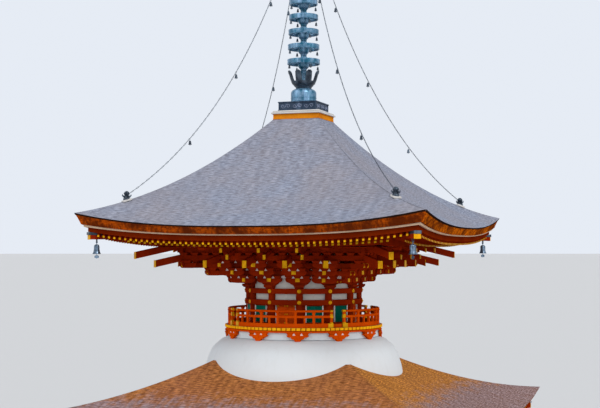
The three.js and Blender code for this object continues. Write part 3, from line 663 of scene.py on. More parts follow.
def roofProfile(r):
    topLift = liftOf(r["lift"], r["liftFrom"], r["edge"] - r["liftFrom"])

    def outside(half, drop=0.0):
        return half, slopeTop(r, half) - topLift(half) - drop, topLift(half)

    def below(half):
        return half, r["underTop"], r["eaveLift"](half)

    rows = r["rows"]
    top = [outside(r["start"] + (r["edge"] - r["start"]) * i / rows) for i in range(rows + 1)]
    edge = []
    for share, inset in cutSteps:
        half, base, lift = [a + (b - a) * share for a, b in zip(top[-1], below(r["under"]))]
        edge.append((half - inset * (1 - share), base, lift))
    inner = [outside(half, r["shell"]) for half in r["inner"]]
    return top + edge + [below(r["under"]), below(r["innerEdge"])] + inner


# the map that the bark follows: along the eave, and down the slope
def layOut(bm):
    laid = bm.loops.layers.uv.new("laid")
    slope = laidSet["slope"]
    for face in bm.faces:
        middle = face.calc_center_median()
        along = 0 if abs(middle.y) > abs(middle.x) else 1
        for loop in face.loops:
            co = loop.vert.co
            down = max(abs(co.x), abs(co.y)) * slope - co.z * slope
            loop[laid].uv = (co[along] + laidSet["shift"] * along, down)


# the dome stands in a round hole
def cutHole(piece, hole):
    bm = bmesh.new()
    bmesh.ops.create_cone(bm, cap_ends=True, segments=96, radius1=hole["radius"], radius2=hole["radius"],
                          depth=hole["deep"], matrix=at(0, 0, hole["middle"]))
    tool = bpy.data.objects.new("holeTool", asMesh(bm))
    scene.collection.objects.link(tool)
    cut = piece.modifiers.new("domeHole", "BOOLEAN")
    cut.object, cut.operation, cut.solver = tool, "DIFFERENCE", "EXACT"
    graph = bpy.context.evaluated_depsgraph_get()
    done = bpy.data.meshes.new_from_object(piece.evaluated_get(graph), preserve_all_data_layers=True,
                                           depsgraph=graph)
    piece.modifiers.clear()
    done.name = piece.data.name
    piece.data = done
    bpy.data.objects.remove(tool)


def makeRoof(r):
    bm = bmesh.new()
    addSquareRing(bm, roofProfile(r), across=36)
    # the top of the cut edge takes the rim's near black, a painted shadow under the top layer
    rim = slopeTop(r, r["edge"]) - r["lift"]
    rim -= rimShadowShare * (rim - r["underTop"])
    footLift = r["eaveLift"](r["under"])
    for face in bm.faces:
        middle = face.calc_center_median()
        half, share = shareOf(middle)
        lift = footLift + (r["lift"] - footLift) * (half - r["under"]) / (r["edge"] - r["under"])
        inRimShadow = half > r["under"] and middle.z - lift * share ** cornerPower > rim
        face.material_index = 0 if face.normal.z > 0.2 else 2 if inRimShadow else 1
    onHip = [e for e in bm.edges if all(abs(abs(v.co.x) - abs(v.co.y)) < 1e-4 for v in e.verts)]
    hips = [e for e in onHip if all(f.material_index == 0 for f in e.link_faces)]
    bmesh.ops.bevel(bm, geom=hips, offset=0.05, segments=3, profile=0.5, affect="EDGES", material=-1)
    layOut(bm)
    piece = finishPiece(r["name"] + "_roof_bark", bm, [r["bark"], "barkEdge", "paintedRimShadow"],
                        [r["name"] + "_roof"], smoothAngle=25)
    if "hole" in r:
        cutHole(piece, r["hole"])


makeRoof(upperRoof)
makeRoof(lowerRoof)

# the eaves: boards, two tiers of rafters with gilt ends, hip beams

# "hips" are the hip beam, its gilt end and its metal cover: the width, the paint and the outline
upperEaves = {"name": "upper", "lift": upperRoof["eaveLift"], "ceiling": 8.96, "from": 1.2, "slopeFrom": 1.7,
              "end": 3.72, "under": 8.362, "slope": 0.3, "baseSize": (0.055, 0.085), "capHigh": 0.046,
              "flyFrom": 3.40, "flyEnd": 4.20, "flyUnder": 8.412, "flySlope": 0.221, "flySize": (0.049, 0.088),
              "pitch": 0.150, "board": {"from": 4.12, "to": 4.24, "strip": 4.32, "bottom": 8.5055, "top": 8.635},
              "hips": [(0.18, 0, [(1.6, 8.9), (3.05, 8.57), (4.222, 8.55), (4.222, 8.71), (3.72, 8.64), (1.6, 8.99)]),
                       (0.186, 1, [(4.216, 8.546), (4.23, 8.546), (4.23, 8.66), (4.216, 8.66)]),
                       (0.20, 2, [(4.00, 8.650), (4.245, 8.664), (4.245, 8.735), (4.00, 8.712)])]}
lowerEaves = {"name": "lower", "lift": lowerRoof["eaveLift"], "ceiling": 3.94, "from": 2.6, "slopeFrom": 2.96,
              "end": 4.62, "under": 3.425, "slope": 0.3, "baseSize": (0.062, 0.085), "capHigh": 0.056,
              "flyFrom": 4.25, "flyEnd": 5.18, "flyUnder": 3.520, "flySlope": 0.200, "flySize": (0.058, 0.085),
              "pitch": 0.160, "board": {"from": 5.10, "to": 5.22, "strip": 5.30, "bottom": 3.6105, "top": 3.735},
              "hips": [(0.18, 0, [(3.0, 3.935), (3.425, 3.72), (4.62, 3.54), (5.202, 3.66), (5.202, 3.81),
                                  (4.62, 3.74), (3.0, 4.01)]),
                       (0.186, 1, [(5.196, 3.656), (5.21, 3.660), (5.21, 3.80), (5.196, 3.797)]),
                       (0.21, 2, [(5.00, 3.786), (5.23, 3.818), (5.23, 3.838), (5.00, 3.806)])]}
rafterSet = {"cornerSpace": 0.20, "hipSpace": 0.07, "grow": 0.001, "soffit": 0.014, "soffitSteps": 6,
             "beamBack": (0.13, 0.03), "bed": 0.002, "ceilingThick": 0.1}
boardSet = {"lip": 0.012, "lipHigh": 0.018, "strip": 0.030, "deeper": 0.022}
bellPlace = {"half": 4.08, "pin": 8.48, "hangerTop": 8.6, "lug": 0.022, "lugHalf": 0.012}


def baseUnder(e, half):
    return min(e["under"] + (e["end"] - half) * e["slope"], e["ceiling"])


def flyUnder(e, half):
    return e["flyUnder"] + (e["flyEnd"] - half) * e["flySlope"]


def addRafters(bm, e, start, end, size, under):
    width, height = size
    grow = rafterSet["grow"]
    count = int(end / e["pitch"])
    for i in range(-count - 1, count + 1):
        x = (i + 0.5) * e["pitch"]
        if abs(x) > end - rafterSet["cornerSpace"]:
            continue
        inner = max(start, abs(x) + rafterSet["hipSpace"])
        low, high = x - width / 2, x + width / 2
        timber = addBlock(bm, (low, 0.010 - end, 0), (high, -inner, height), ease=0)
        cap = addBlock(bm, (low - grow, -end, -grow), (high + grow, 0.008 - end, e["capHigh"]), ease=0, paint=1)
        for v in timber + cap:
            v.co.z += under(e, -v.co.y)


# a thin board that follows a slope, as a closed square ring
def addSoffit(bm, e, low, high, under, raised):
    steps = rafterSet["soffitSteps"]
    halves = [low + (high - low) * i / steps for i in range(steps + 1)]
    lower = [(h, under(e, h) + raised, e["lift"](h)) for h in halves]
    upper = [(h, z + rafterSet["soffit"], lift) for h, z, lift in reversed(lower)]
    addSquareRing(bm, lower + upper)


# a beam round all four sides; its bottom and top are heights, or functions that give a height
def addSquareBeam(bm, e, low, high, bottom, top):
    profile = [(low, bottom), (high, bottom), (high, top), (low, top)]
    addSquareRing(bm, [(h, z(h) if callable(z) else z, e["lift"](h)) for h, z in profile])


# the clevis and pin that each wind bell hangs from
def addBellHangers(bm):
    b = bellPlace
    reach = b["half"] * math.sqrt(2)
    for quarter in range(4):
        move = turned(-45 + 90 * quarter)
        for side in (-b["lug"], b["lug"]):
            addBlock(bm, (reach - b["lugHalf"], side - 0.004, b["pin"] - 0.016),
                     (reach + b["lugHalf"], side + 0.004, b["hangerTop"]), move, 0.001, 2)
        addRod(bm, 0.008, (reach, -0.03, b["pin"]), (reach, 0.03, b["pin"]), 12, move, 2)


def makeEaves(e, extra=None):
    bm = bmesh.new()
    addRafters(bm, e, e["slopeFrom"] - 0.1, e["end"], e["baseSize"], baseUnder)
    addRafters(bm, e, e["flyFrom"], e["flyEnd"], e["flySize"], flyUnder)
    fourTimes(bm)
    liftCorners(bm.verts, e["lift"])
    baseTop = e["baseSize"][1]
    addSoffit(bm, e, e["slopeFrom"], e["end"] - 0.02, baseUnder, baseTop)
    addSoffit(bm, e, e["flyFrom"], e["flyEnd"] - 0.01, flyUnder, e["flySize"][1])
    inner, outer = [e["end"] - back for back in rafterSet["beamBack"]]
    addSquareBeam(bm, e, inner, outer, lambda h: baseUnder(e, h) + baseTop, lambda h: flyUnder(e, h) + rafterSet["bed"])
    start, end, low, high = e["from"], e["slopeFrom"], e["ceiling"], e["ceiling"] + rafterSet["ceilingThick"]
    addSquareRing(bm, [(start, low, 0), (end, low, 0), (end, high, 0), (start, high, 0)], across=4)
    for width, paint, outline in e["hips"]:
        for quarter in range(4):
            addOutline(bm, [(h * math.sqrt(2), z) for h, z in outline], width, turned(-45 + 90 * quarter), 0.004,
                       paint)
    if extra:
        extra(bm)
    # the rafters take the darker red, painted shade under the eaves
    finishPiece(e["name"] + "_eaves_rafters", bm, ["shadedRedPaint", "gilding", "darkBronze"],
                [e["name"] + "_rafters"])


# the eave board with its lip, in the darkest red as painted shade, and the pale strip under the bark, which grows
# deeper towards the corners
def makeEaveBoard(e):
    bm = bmesh.new()
    b, s = e["board"], boardSet
    low, high, strip, top = b["from"], b["to"], b["strip"], b["top"]
    addSquareBeam(bm, e, low, high, b["bottom"], top - s["lipHigh"])
    addSquareBeam(bm, e, low, high + s["lip"], top - s["lipHigh"], top)
    addSquareRing(bm, [(low, top, e["lift"](low)), (strip, top, e["lift"](strip) - s["deeper"]),
                       (strip, top + s["strip"], e["lift"](strip)), (low, top + s["strip"], e["lift"](low))], paint=1)
    finishPiece(e["name"] + "_eave_boards", bm, ["deeperShadedRedPaint", "creamPaint"],
                [e["name"] + "_eave_board"])


makeEaves(upperEaves, addBellHangers)
makeEaves(lowerEaves)
makeEaveBoard(upperEaves)
makeEaveBoard(lowerEaves)

# the bracket sets under the upper eaves

tiers = {"bottom": 7.424, "pitch": 0.199, "high": 0.130, "reach": (1.62, 2.04, 2.50),
         "cornerReach": (1.48, 2.00, 2.50), "width": 0.110, "cornerWidth": 0.115, "start": 1.46, "setBack": 0.06,
         "thick": 0.10, "blockWide": 0.205, "blockHigh": 0.069, "crossHalf": 0.340, "cornerCross": 0.24,
         "crossBlocks": (-0.235, 0.0, 0.235), "topBlocks": [0.30 * i for i in range(-8, 9)]}
stacks = [{"x": 0.395, "lean": 0.105}, {"x": 1.118, "lean": 0.364}]
tailSlope = 0.3
tails = {"side": {"end": 2.98, "bottom": 7.843, "high": 0.175, "start": 1.5, "cap": 0.012},
         "cornerLow": {"end": 3.00, "bottom": 7.843, "high": 0.175, "start": 1.5, "cap": 0.012},
         "cornerHigh": {"end": 3.375, "bottom": 8.061, "high": 0.174, "start": 1.5, "cap": 0.012},
         "thinLow": {"end": 3.00, "bottom": 8.050, "high": 0.11, "start": 2.3, "cap": 0.030},
         "thinHigh": {"end": 3.40, "bottom": 8.225, "high": 0.10, "start": 2.6, "cap": 0.030}}
thinTails = {"x": (0, -1.0, 1.0), "width": 0.06}
purlinBlocks = {"reach": 3.05, "lean": 1.43, "bottom": 8.281}
lattice = {"board": ((-1.5, -1.520, 7.55), (1.5, -1.505, 8.16)), "from": 1.55, "to": 2.97, "under": 8.362,
           "top": 8.374, "pitch": 0.155, "bar": 0.015}


def tierLevel(tier):
    return tiers["bottom"] + tiers["pitch"] * tier


# a bearing block: straight above, drawn in below
def bearingBlock(wide, high, foot=0.66, straight=0.5, deep=1.0):
    def build(bm):
        last = addBlock(bm, (-wide / 2, -wide / 2, high * (1 - straight)), (wide / 2, wide / 2, high), ease=0)
        share = 1.0
        for size in ((1 + foot) / 2 - 0.02, foot):
            under = [f for f in facesOf(last) if f.normal.z < -0.9]
            last = vertsIn(bmesh.ops.extrude_face_region(bm, geom=under)["geom"])
            bmesh.ops.translate(bm, verts=last, vec=(0, 0, -high * (1 - straight) * 0.5))
            bmesh.ops.scale(bm, verts=last, vec=(size / share, size / share, 1))
            share = size
        bmesh.ops.scale(bm, verts=bm.verts[:], vec=(deep, 1, 1))
    return asShape(build)


smallBlock = bearingBlock(tiers["blockWide"], tiers["blockHigh"], 0.70, 0.15)
wideBlock = bearingBlock(0.26, 0.09)


# the curve of an arm's nose and the foot of its gilt cap, from the arm's end and bottom; gilt caps stand out a little
armNose = [(-0.142, 0), (-0.072, 0.010), (-0.032, 0.024), (-0.012, 0.040)]
capFoot = [(-0.042, 0.022), (-0.016, 0.034), (0, 0.040)]
gilt = {"over": 0.003, "wider": 0.006}


# an arm that reaches out, its nose rounded below and capped with gilt metal
def addArm(bm, start, end, bottom, width, move):
    top = bottom + tiers["high"]
    nose, foot = [[(end + x, bottom + z) for x, z in curve] for curve in (armNose, capFoot)]
    addOutline(bm, [(start, bottom), *nose, (nose[-1][0], top), (start, top)], width, move, 0.004)
    addOutline(bm, [*foot, (end, top + gilt["over"]), (foot[0][0], top + gilt["over"])], width + gilt["wider"], move, 0,
               1)


# shares of a cross arm's half length and of its height, from the bottom upwards
crossCurve = [(0.52, 0.0), (0.74, 0.10), (0.90, 0.28), (0.985, 0.52), (1, 0.62), (1, 1.0)]


# a cross arm, curved up at both ends
def addCrossArm(bm, half, bottom, high, thick, move):
    addOutline(bm, mirrored([(half * x, bottom + z * high) for x, z in crossCurve]), thick, move, 0.004)


# a beam that slopes down and outwards to a square gilt end
def addTail(bm, t, stretch, width, move):
    def points(a, b, grow):
        low, high = [t["bottom"] + (t["end"] - half) * tailSlope for half in (a, b)]
        return [(a * stretch, low - grow), (b * stretch, high - grow),
                (b * stretch, high + t["high"] + grow), (a * stretch, low + t["high"] + grow)]
    end = t["end"]
    addOutline(bm, points(t["start"], end - 0.010, 0), width, move, 0.004)
    addOutline(bm, points(end - t["cap"], end, gilt["over"]), width + gilt["wider"], move, 0, 1)


def addBracketStack(bm, move, stretch, reaches, width, tailNames):
    for tier, reach in enumerate(reaches):
        addArm(bm, tiers["start"], reach * stretch, tierLevel(tier), width, move)
        stamp(bm, smallBlock, move @ at((reach - 0.062) * stretch, 0, tierLevel(tier) + tiers["high"]))
    for name in tailNames:
        addTail(bm, tails[name], stretch, width, move)


# a straight beam along one side, with gilt ends
def addTierBeam(bm, reach, level):
    half, near, far = reach - tiers["setBack"], 0.01 - reach, 0.01 - reach + tiers["thick"]
    low, high = tierLevel(level), tierLevel(level) + tiers["high"]
    addBlock(bm, (-half, near, low), (half, far, high))
    addPair(bm, (half - 0.02, near - 0.004, low - 0.003), (half + 0.004, far + 0.004, high + 0.003), None, 0.002, 1)


# a row of blocks, with white boards that show between them
def addBlockRow(bm, places, reach, z):
    for x in places:
        if abs(x) < reach + 0.02:
            stamp(bm, smallBlock, at(x, -reach, z))
    for x, after in zip(places, places[1:]):
        if abs(after - x) < 0.26:
            addBlock(bm, (x, -reach - 0.050, z), (after, -reach - 0.042, z + tiers["blockHigh"] - 0.004), None, 0, 2)


def bracketSide(bm):
    back = tiers["setBack"]
    for tier, reach in enumerate(tiers["reach"]):
        places = []
        for stack in stacks:
            for side in (-1, 1):
                x = side * (stack["x"] + stack["lean"] * (reach - tiers["reach"][0]))
                addCrossArm(bm, tiers["crossHalf"], tierLevel(tier), tiers["high"], tiers["thick"],
                            at(x, back - reach, 0))
                places += [x + step for step in tiers["crossBlocks"]]
        for level in range(tier, 3):
            addBlockRow(bm, places, reach - back, tierLevel(level) + tiers["high"])
            addTierBeam(bm, reach, level + 1)
    reach = tiers["reach"][2]
    addBlockRow(bm, tiers["topBlocks"], reach - back, tierLevel(3) + tiers["high"])
    addBlock(bm, (-reach - 0.1, -reach + 0.01, tierLevel(4)), (reach + 0.1, -reach + 0.11, 8.35))
    for stack in stacks:
        for side in (-1, 1):
            x, lean = side * stack["x"], side * stack["lean"]
            move = at(x - lean * tiers["reach"][0], 0, 0) @ turned(-90 + math.degrees(math.atan(lean)))
            addBracketStack(bm, move, math.sqrt(1 + lean * lean), tiers["reach"], tiers["width"], ["side"])
            stamp(bm, smallBlock, at(x + lean * purlinBlocks["lean"], -purlinBlocks["reach"], purlinBlocks["bottom"]))
    for x in thinTails["x"]:
        for name in ("thinLow", "thinHigh"):
            addTail(bm, tails[name], 1.0, thinTails["width"], at(x, 0, 0) @ facing)


# white boards and a lattice close the space between the beams and the purlin
def bracketCeiling(bm):
    start, end, under, top = [lattice[key] for key in ("from", "to", "under", "top")]
    pitch, bar = lattice["pitch"], lattice["bar"]
    addBlock(bm, *lattice["board"], None, 0, 2)
    addOutline(bm, [(start, under), (end, under), (end, top), (start, top)], 2 * start, facing, 0, 2)
    for i in range(9):
        half = 1.68 + pitch * i
        addBlock(bm, (-half, -half - bar, 8.336), (half, -half + bar, under), ease=0)
    for i in range(-18, 19):
        x = pitch * i
        inner = max(start, abs(x))
        if inner < 2.9:
            addBlock(bm, (x - bar, -end, 8.338), (x + bar, -inner, 8.363), ease=0)


def cornerSet(bm):
    addBracketStack(bm, turned(-45), math.sqrt(2), tiers["cornerReach"], tiers["cornerWidth"],
                    ["cornerLow", "cornerHigh"])
    for tier, reach in enumerate(tiers["cornerReach"]):
        middle = reach - 0.20
        for x, y, turn in ((middle, -reach + 0.05, 0), (reach - 0.05, -middle, 90)):
            addCrossArm(bm, tiers["cornerCross"], tierLevel(tier), tiers["high"], tiers["thick"],
                        at(x, y, 0) @ turned(turn))
            stamp(bm, smallBlock, at(x, y, tierLevel(tier) + tiers["high"]))


# the bracket timbers take the darker red, painted shade under the eaves
timberLooks = ["shadedRedPaint", "gilding", "whitePaint"]
makeAround("side_bracket_set_", sides, bracketSide, timberLooks, "side_brackets_")
makeAround("corner_bracket_set_", corners, cornerSet, timberLooks, "corner_brackets_")
makeAround("bracket_ceiling_", sides, bracketCeiling, timberLooks)

# the round body: rings, columns, doors and windows

roundBody = {"circle": 1.477, "column": 0.090, "foot": 6.303, "top": 7.284, "inner": 1.4403, "outer": 1.582,
             "beams": ((6.856, 6.993), (7.149, 7.284)), "discs": ((0.052, 0.014), (0.0234, 0.026)),
             "angles": [15 + 30 * i for i in range(12)]}
ringArm = {"place": 1.545, "thick": 0.10, "block": 1.53, "smallBlocks": 1.535, "spread": 8.7,
           "outline": [(0.105, 7.284), (0.125, 7.315), (0.135, 7.350), (0.165, 7.375), (0.210, 7.398),
                       (0.250, 7.430), (0.272, 7.468), (0.280, 7.505), (0.280, 7.554)]}
upperDoor = {"half": 0.255, "face": 1.385, "back": 1.345, "bottom": 6.373, "top": 6.856, "rail": 0.045,
             "middles": [6.58], "jamb": ((0.262, -1.43, 6.36), (0.282, -1.30, 6.856)),
             "trim": [((-0.29, -1.46, 6.303), (0.29, -1.31, 6.373)), ((-0.02, -1.395, 6.373), (0.02, -1.36, 6.856))]}
upperWindow = {"half": 0.235, "bottom": 6.400, "top": 6.856, "face": 1.475, "bars": 11, "bar": 0.024, "frame": 0.028,
               "filler": ((0.235, -1.462, 6.31), (0.305, -1.40, 6.856)),
               "sill": ((-0.29, -1.47, 6.31), (0.29, -1.40, 6.36))}


def boxProfile(inner, outer, bottom, top, ease=0.006):
    return [(inner, bottom), (outer - ease, bottom), (outer, bottom + ease), (outer, top - ease), (outer - ease, top),
            (inner, top)]


def makeUpperFrame():
    bm = bmesh.new()
    b = roundBody
    post = asShape(lambda s: addTurned(s, [(0, b["foot"]), (b["column"], b["foot"]), (b["column"], b["top"]),
                                           (0, b["top"])], 24))
    for angle in b["angles"]:
        stamp(bm, post, turned(angle) @ at(b["circle"], 0, 0))
    for low, high in b["beams"]:
        addTurned(bm, boxProfile(b["inner"], b["outer"], low, high), 96)
        for angle in b["angles"]:
            for radius, thick in b["discs"]:
                addDisc(bm, radius, thick, turned(angle) @ at(b["outer"] - 0.002, 0, (low + high) / 2))
    # the frame takes the darker red, painted shade under the eaves
    finishPiece("upper_round_frame", bm, ["shadedRedPaint", "gilding"], ["upper_frame"], smoothAngle=30)


# blocks and curved arms on the columns, and the first two rings that they carry
def makeRingBrackets():
    bm = bmesh.new()
    a, blockTop, beamTop = ringArm, tierLevel(0) + tiers["high"], tierLevel(1) + tiers["high"]
    for angle in roundBody["angles"]:
        addOutline(bm, mirrored(a["outline"]), a["thick"], turned(angle) @ at(a["place"], 0, 0) @ turned(90), 0.005)
        stamp(bm, wideBlock, turned(angle) @ at(a["block"], 0, roundBody["top"]))
        for shift in (-a["spread"], 0, a["spread"]):
            stamp(bm, smallBlock, turned(angle + shift) @ at(a["smallBlocks"], 0, blockTop))
    addTurned(bm, boxProfile(1.5, 1.585, tierLevel(1), beamTop), 96)
    addTurned(bm, boxProfile(1.5, 1.560, blockTop, tierLevel(1)), 96, paint=2)
    finishPiece("upper_ring_brackets", bm, timberLooks, smoothAngle=30)


# a pair of doors: boards, stiles and rails, gilt corner plates and a boss
def addDoors(bm, d):
    half, face, rail, bottom, top = [d[key] for key in ("half", "face", "rail", "bottom", "top")]
    gap = 0.004

    def block(x0, x1, y, z0, z1, paint=0, ease=0.004):
        addPair(bm, (x0, -y, z0), (x1, -d["back"], z1), None, ease, paint)
    block(gap, half, (face + d["back"]) / 2, bottom, top)
    block(gap, gap + rail, face, bottom, top)
    block(half - rail, half, face, bottom, top)
    for z in [bottom, *d["middles"], top - rail]:
        block(gap, half, face - 0.004, z, z + rail)
    for z in (bottom, top - rail):
        block(gap, gap + rail, face + 0.004, z, z + rail, 1, 0.002)
        block(half - rail, half, face + 0.004, z, z + rail, 1, 0.002)
    for side in (-1, 1):
        addDisc(bm, rail * 0.42, 0.012, at(side * rail * 0.6, -face, (bottom + top) / 2) @ facing)


def upperDoorPair(bm):
    addDoors(bm, upperDoor)
    addPair(bm, *upperDoor["jamb"], paint=2)
    for low, high in upperDoor["trim"]:
        addBlock(bm, low, high)


# a window closed with green bars between pale side frames, over a sill and under a head
def addBarredWindow(bm, w, move):
    half, bottom, top, face, thick = w["half"], w["bottom"], w["top"], w["face"], w["bar"] / 2
    clear = half - w["frame"]
    addPair(bm, (clear, -face - 0.02, bottom), (half, -face + 0.05, top), move, 0.004, 2)
    addBlock(bm, (-half - 0.02, -face - 0.045, bottom - 0.05), (half + 0.02, -face + 0.06, bottom + 0.012), move)
    addBlock(bm, (-half - 0.01, -face - 0.02, top - 0.022), (half + 0.01, -face + 0.05, top), move)
    space = 2 * clear / w["bars"]
    for i in range(w["bars"]):
        place = move @ at(-clear + space * (i + 0.5), -face, 0) @ turned(45)
        addBlock(bm, (-thick, -thick, bottom), (thick, thick, top), place, 0.002, 1)
    addBlock(bm, (-clear, -face + 0.03, bottom), (clear, -face + 0.042, top), move, 0, 1)


def upperWindows(bm):
    for angle in (-30, 30):
        addBarredWindow(bm, upperWindow, turned(angle))
        addPair(bm, *upperWindow["filler"], turned(angle), 0.003)
        addBlock(bm, *upperWindow["sill"], turned(angle), 0.004)


makeUpperFrame()
makeRingBrackets()
doorLooks = ["doorPaint", "gilding", "whitePaint"]
makeAround("upper_door_leaves_", sides, upperDoorPair, doorLooks, "upper_doors_")
# the window frames take the darker red, painted shade under the eaves
makeAround("upper_windows_", sides, upperWindows, ["shadedRedPaint", "greenPaint", "whitePaint"])
# the round body's walls and core take the warm tint, painted reflected light
for side in sides:
    dressNode("upper_wall_" + side, "paintedBouncePlaster")
dressNode("bracket_core", "paintedBouncePlaster")


def makePurlin():
    bm = bmesh.new()
    addSquareBeam(bm, upperEaves, 2.975, 3.125, 8.35, lambda h: baseUnder(upperEaves, h) - 0.001)
    addSquareBeam(bm, upperEaves, 2.985, 3.130, 8.352, 8.375)
    # the purlin takes the darker red, painted shade under the eaves
    finishPiece("upper_purlin_beam", bm, ["shadedRedPaint"], ["upper_purlin"])


makePurlin()

# dome, neck and balcony

domeShape = [(2.54, 4.04), (2.66, 4.04), (2.66, 4.60), (2.66, 5.01), (2.652, 5.10), (2.630, 5.22), (2.590, 5.35),
             (2.535, 5.51), (2.465, 5.661), (2.385, 5.755), (2.295, 5.832), (2.240, 5.878), (2.180, 5.915),
             (2.070, 5.968), (1.990, 5.984), (1.9, 5.990), (1.9, 5.89), (2.18, 5.78), (2.54, 5.01)]
balcony = {"ledge": (1.90, 2.09, 6.176, 6.223), "planks": 104, "deckInner": 1.25, "deckOuter": 2.12,
           "deckBottom": 6.223, "deckTop": 6.303, "rail": 2.010, "postStep": 6.63, "posts": 6,
           "board": (6.303, 6.413), "middle": (6.553, 6.615), "topRail": 6.7265}
# widths of the bars and posts, and angles in degrees; the sleeves are the gilt metal round the bars' ends
railing = {"front": -90, "beyond": 1.2, "wide": 0.030, "inside": 0.026, "round": 0.034, "squash": 0.9, "over": 0.004,
           "lap": 0.1, "sleeves": (3.9, 2.2, 2.2), "tall": 0.032, "short": 0.025, "collar": 0.028, "seat": 0.062,
           "kerb": (0.060, 0.014), "kerbLower": 0.012, "kerbTurn": (-1, 9.2)}
neckBrackets = {"place": 2.062, "thick": 0.085, "blocks": (-0.196, 0, 0.196), "blockFoot": 6.110,
                "back": ((2.080, -0.19, 6.112), (2.086, 0.19, 6.172)),
                "heart": ((2.100, -0.035, 6.030), (2.118, 0.035, 6.095)),
                "outline": [(0.055, 5.957), (0.075, 5.963), (0.088, 5.988), (0.092, 6.008), (0.130, 6.011),
                            (0.158, 6.025), (0.172, 6.050), (0.176, 6.062), (0.225, 6.065), (0.262, 6.078),
                            (0.282, 6.098), (0.286, 6.114)]}


def makeDome():
    for name, node, profile, steps in (
            ("plaster_dome", "dome", domeShape, 128),
            ("plaster_neck", "neck_drum", boxProfile(1.9, 2.02, 5.9903, 6.176, 0.004), 96)):
        bm = bmesh.new()
        addTurned(bm, profile, steps)
        finishPiece(name, bm, ["limePlaster"], [node], smoothAngle=35)


def makeBalconyBrackets():
    bm = bmesh.new()
    n = neckBrackets
    addTurned(bm, boxProfile(*balcony["ledge"]), 96)
    block = bearingBlock(0.186, 0.066, 0.58, 0.08, 0.45)
    for angle in roundBody["angles"]:
        around = turned(angle)
        addOutline(bm, mirrored(n["outline"]), n["thick"], around @ at(n["place"], 0, 0) @ turned(90), 0.004)
        for shift in n["blocks"]:
            stamp(bm, block, around @ at(n["place"], shift, n["blockFoot"]))
        addBlock(bm, *n["back"], around, 0, 1)
        addBlock(bm, *n["heart"], around)
    finishPiece("balcony_bracket_sets", bm, ["redPaint", "whitePaint"], ["balcony_brackets"],
                smoothAngle=30)


def makeDeck():
    b = balcony

    def plank(bm):
        inner, outer, top = b["deckInner"], b["deckOuter"], b["deckTop"]
        half = math.pi * outer / b["planks"]
        for low, high, gap, paint in ((inner, outer - 0.030, 0.003, 0), (outer - 0.034, outer, 0.013, 1)):
            bottom = b["deckBottom"] + 0.014 * paint
            for v in addBlock(bm, (low, gap - half, bottom), (high, half - gap, top), None, 0.004, paint):
                v.co.y *= v.co.x / outer
    shape = asShape(plank)
    bm = bmesh.new()
    for i in range(b["planks"]):
        stamp(bm, shape, turned(360 / b["planks"] * (i + 0.5)))
    addTurned(bm, boxProfile(1.28, 2.096, b["deckBottom"], b["deckTop"] - 0.012, 0.004), 96, paint=2)
    # the ring under the planks takes the darker red, painted shade under the deck
    finishPiece("balcony_planks", bm, ["bareBoards", "yellowPaint", "shadedRedPaint"],
                ["balcony_deck"])


# a bar bent round the balcony between two angles
def addArcBar(bm, profile, start, end, paint=0):
    addTurned(bm, profile, max(2, int((end - start) / 2.5)), paint=paint, sweep=end - start, start=start)


def roundProfile(centre, z, radius, squash, steps=10):
    turns = [2 * math.pi * i / steps for i in range(steps)]
    return [(centre + radius * math.cos(turn), z + radius * squash * math.sin(turn)) for turn in turns]


railBlock = bearingBlock(0.085, 0.042)


def railingQuarter(bm):
    b, s = balcony, railing
    r, reach, topRail = b["rail"], b["postStep"] * b["posts"] + s["beyond"], b["topRail"]
    (low, high), (midLow, midHigh), wide, over = b["board"], b["middle"], s["wide"], s["over"]
    start, end = s["front"] - reach, s["front"] + reach
    bars = (boxProfile(r - wide, r + wide, low, high),
            boxProfile(r - s["inside"], r + wide, midLow, midHigh, 0.008),
            roundProfile(r, topRail, s["round"], s["squash"]))
    sleeves = (boxProfile(r - wide - over, r + wide + over, low, high + gilt["over"]),
               boxProfile(r - wide, r + wide + over, midLow - over, midHigh + over),
               roundProfile(r, topRail, s["round"] + over, s["squash"]))
    for bar, sleeve, length in zip(bars, sleeves, s["sleeves"]):
        addArcBar(bm, bar, start, end)
        addArcBar(bm, sleeve, start - s["lap"], start + length, 1)
        addArcBar(bm, sleeve, end - length, end + s["lap"], 1)
    for i in range(-b["posts"], b["posts"] + 1):
        tall, last = i % 2 == 0, abs(i) == b["posts"]
        move = turned(s["front"] + i * b["postStep"]) @ at(r, 0, 0)
        half, top = (s["tall"], topRail - 0.02) if tall else (s["short"], midLow + 0.01)
        addBlock(bm, (-half, -half, high - 0.01), (half, half, top), move, 0.004)
        if last:
            for z in (high, midHigh + over):
                addSlab(bm, half + gilt["over"], z, z + s["collar"], move, 0.002, 1)
        elif tall:
            stamp(bm, railBlock, move @ at(0, 0, topRail - s["seat"]))
    (inner, outer), (first, last) = s["kerb"], s["kerbTurn"]
    addArcBar(bm, boxProfile(r - inner, r - outer, low, high - s["kerbLower"]), end + first, end + last)


def makeRailing():
    bm = bmesh.new()
    railingQuarter(bm)
    fourTimes(bm)
    finishPiece("balcony_rails", bm, ["redPaint", "gilding"], ["balcony_railing"], smoothAngle=35)


makeDome()
makeBalconyBrackets()
makeDeck()
makeRailing()
print("the round body and its balcony are made")

# the ground storey

